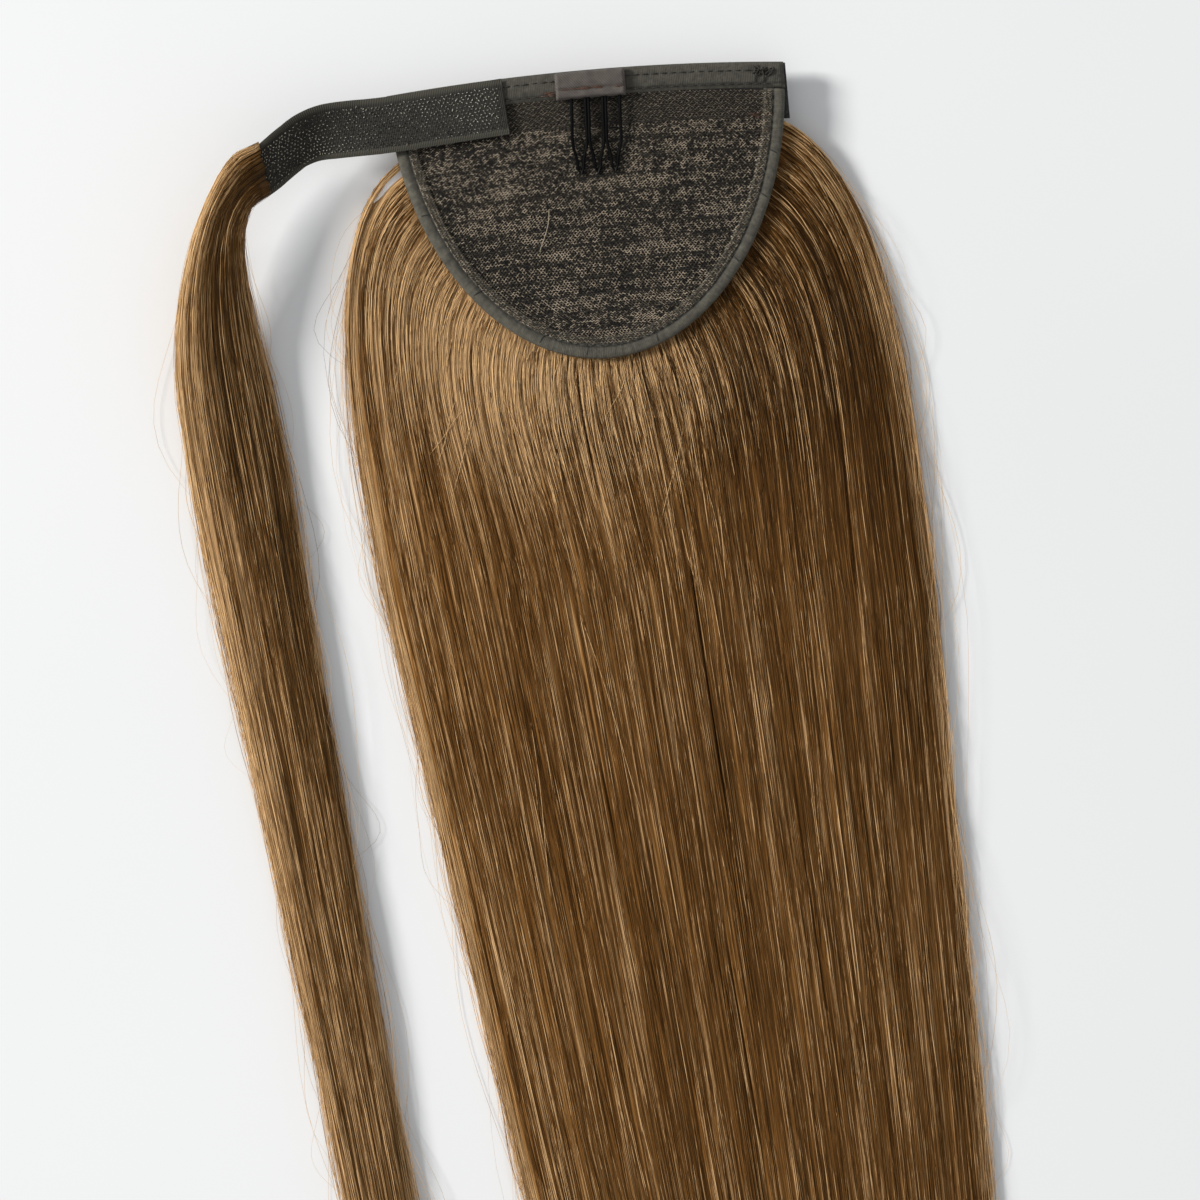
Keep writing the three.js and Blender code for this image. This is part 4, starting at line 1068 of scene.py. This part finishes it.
def lock_point(at, share, over, below=False):
    """Points over the wrap lock's upper face, or of its lower one. Places before 0 lie on the strap."""
    where = np.clip(at * lock_steps, -back_steps, lock_steps)
    ruler = np.arange(-back_steps, lock_steps + 1)
    place = np.interp(where, ruler, lock_line.real) + 1j * np.interp(where, ruler, lock_line.imag)
    across = np.interp(where, ruler, lock_across)
    half = LOCK_WIDTH * np.interp(at, LOCK_AT, LOCK_WIDE) / 2
    side = (1 - 2 * share) * half + 0.0026 * hump(at, 0.016, 0.014) * (1 - share) ** 3
    side = side + 0.0012 * hump(at, 0.015, 0.011) * share**3
    place = place + side * 1j * np.exp(1j * across)
    strap_share = np.clip(1 + at * LOCK_LENGTH / STRAP_LENGTH, 0, 1)
    roll = np.interp(strap_share, strap_shares, strap_roll)
    over_strap = np.interp(strap_share, strap_shares, strap_over) + side * np.tan(roll) + STRAP_THICK / 2
    under = STRAP_END_HEIGHT * np.interp(at, LOCK_AT, LOCK_LIFT) + side * np.interp(at, LOCK_AT, LOCK_BANK)
    full = LOCK_HEIGHT * np.interp(at, LOCK_AT, LOCK_HIGH)
    bulge = np.sqrt(np.clip(1 - np.abs(2 * share - 1) ** 2.6, 0, 1))
    middle = under + 0.38 * full
    if below:
        height = blend(middle - LOCK_EDGE / 2, under, bulge)
        height = blend(over_strap + 0.0002, height, ease(at, 0.0005, 0.006))
    else:
        relief = 0.0007 * lock_locks(at, share) + 0.00022 * lock_tresses(at, share)
        relief = relief + 0.00013 * lock_strands(at, share) + 0.00012 * lock_hairs(at, share)
        relief = relief - 0.0014 * root_gaps(at, share)
        root = over_strap + 0.0009 + 0.0012 * bulge * ease(at, -0.02, 0)
        height = blend(middle + LOCK_EDGE / 2, under + full, bulge)
        height = blend(root, height, ease(at, 0, 0.04)) + relief * bulge * np.minimum(1, full / 0.006)
    return np.stack([place.real, place.imag, np.maximum(height + over, 0.0002)], axis=-1)


def lock_root(share):
    """Where the hair begins on the strap, in an uneven line near its end."""
    return -0.0035 - 0.0007 * np.sin(17 * share) - 0.0005 * np.sin(41 * share + 1)


lock_shades = streaks(95, 3, 10)
lock_clumps = streaks(97, 6, 40)


def lock_tone(at, share):
    """How dark or pale the lock is: painted highlight along its left side, painted shade a little right of
    its middle, at the root on the strap and in the gaps there, and a random tone of its own.
    """
    # Painted highlight along the left side.
    painted_highlight = 0.3 * hump(share, 0.08, 0.16) * (1 - 0.6 * ease(at, 0.3, 0.6))
    # Painted shade right of the middle, at the root where the hair meets the strap, and in the gaps between
    # the hairs there.
    painted_shade = 0.22 * hump(share, 0.62, 0.3) * (1 - ease(at, 0.25, 0.6))
    painted_shade = painted_shade + 0.4 * hump(at, -0.002, 0.012) * (0.3 + 0.7 * share) + 0.9 * root_gaps(at, share)
    return 0.61 + painted_highlight - painted_shade + 0.10 * lock_shades(at, share) + 0.10 * lock_clumps(at, share)


lock_hair = hair_finish("lock_hair", 110, darkest=(0.024, 0.0125, 0.0055), dark=(0.102, 0.046, 0.0125))
rows = np.concatenate([np.linspace(0, 0.2, 48), np.linspace(0.21, 0.9, 58), np.linspace(0.91, 1, 12)])
rows = rows[:, None]
share = np.linspace(0, 1, 151)[None] + 0 * rows
at = blend(lock_root(share), 0.04, rows / 0.04) * (rows < 0.04) + rows * (rows >= 0.04)
at = cut_back(at, share, LOCK_STRANDS)
upper = lock_point(at, share, -0.0001)
points, faces = shell(upper, lock_point(at, share, 0, below=True))
tones = (lock_tone(at, share) - 0.05).ravel()
uv = np.stack([share, at], axis=-1).reshape(-1, 2)
new_piece(
    "wrap_lock_body", points, faces, lock_hair, replaces=["wrap_lock"],
    uv=np.concatenate([uv, uv]), tone=np.concatenate([tones, tones]),
)
random = np.random.default_rng(96)
shares = random.uniform(0.01, 0.99, 1600)
start = random.uniform(0, 0.9, 1600)
start[:420] = lock_root(shares[:420])
hairs = loose_hairs(random, start, shares, LOCK_STRANDS, lock_point, 0.03, 0.0004, 0.28)
hairs = hairs[0], hairs[1], np.clip(hairs[2], 0.003, 0.997)
hair_strands("lock_hairs", random, hairs, 0.00012, lock_hair, lock_tone)
count = 360
left = random.random(count) < 0.6
shares = np.where(left, random.uniform(0, 0.05, count), random.uniform(0.95, 1, count))
start = random.uniform(0.005, 0.85, count)
outward = np.where(left, -1, 1)[:, None]
hairs = stray_hairs(random, shares, start, LOCK_STRANDS, outward, lock_point, 0.35, 0.0013, 0.004)
hair_strands("lock_edge_hairs", random, hairs, 0.000085, lock_hair, pale_edge)
count = 80
left = random.random(count) < 0.4
shares = np.where(left, random.uniform(0, 0.1, count), random.uniform(0.9, 1, count))
start = random.uniform(0.02, 0.8, count)
outward = np.where(left, -1, 1)[:, None]
hairs = stray_hairs(random, shares, start, LOCK_STRANDS, outward, lock_point, 0.3, 0.005, 0.006)
hair_strands("lock_flyaways", random, hairs, 0.00005, lock_hair, pale_edge)

# The rows of sewn hair lie under the net, out of sight from above.
sewn_hair = Finish("sewn_hair", Roughness=0.5)
rows_noise = sewn_hair.noise((60, 900, 900), detail=3)
sewn_colour = sewn_hair.ramp(rows_noise, (0.3, (0.04, 0.014, 0.003)), (0.7, (0.215, 0.098, 0.027)))
sewn_hair.wire(sewn_colour, sewn_hair.shader.inputs["Base Color"])
for name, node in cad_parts.items():
    if name.startswith("weft_row"):
        node.data.materials.clear()
        node.data.materials.append(sewn_hair.material)
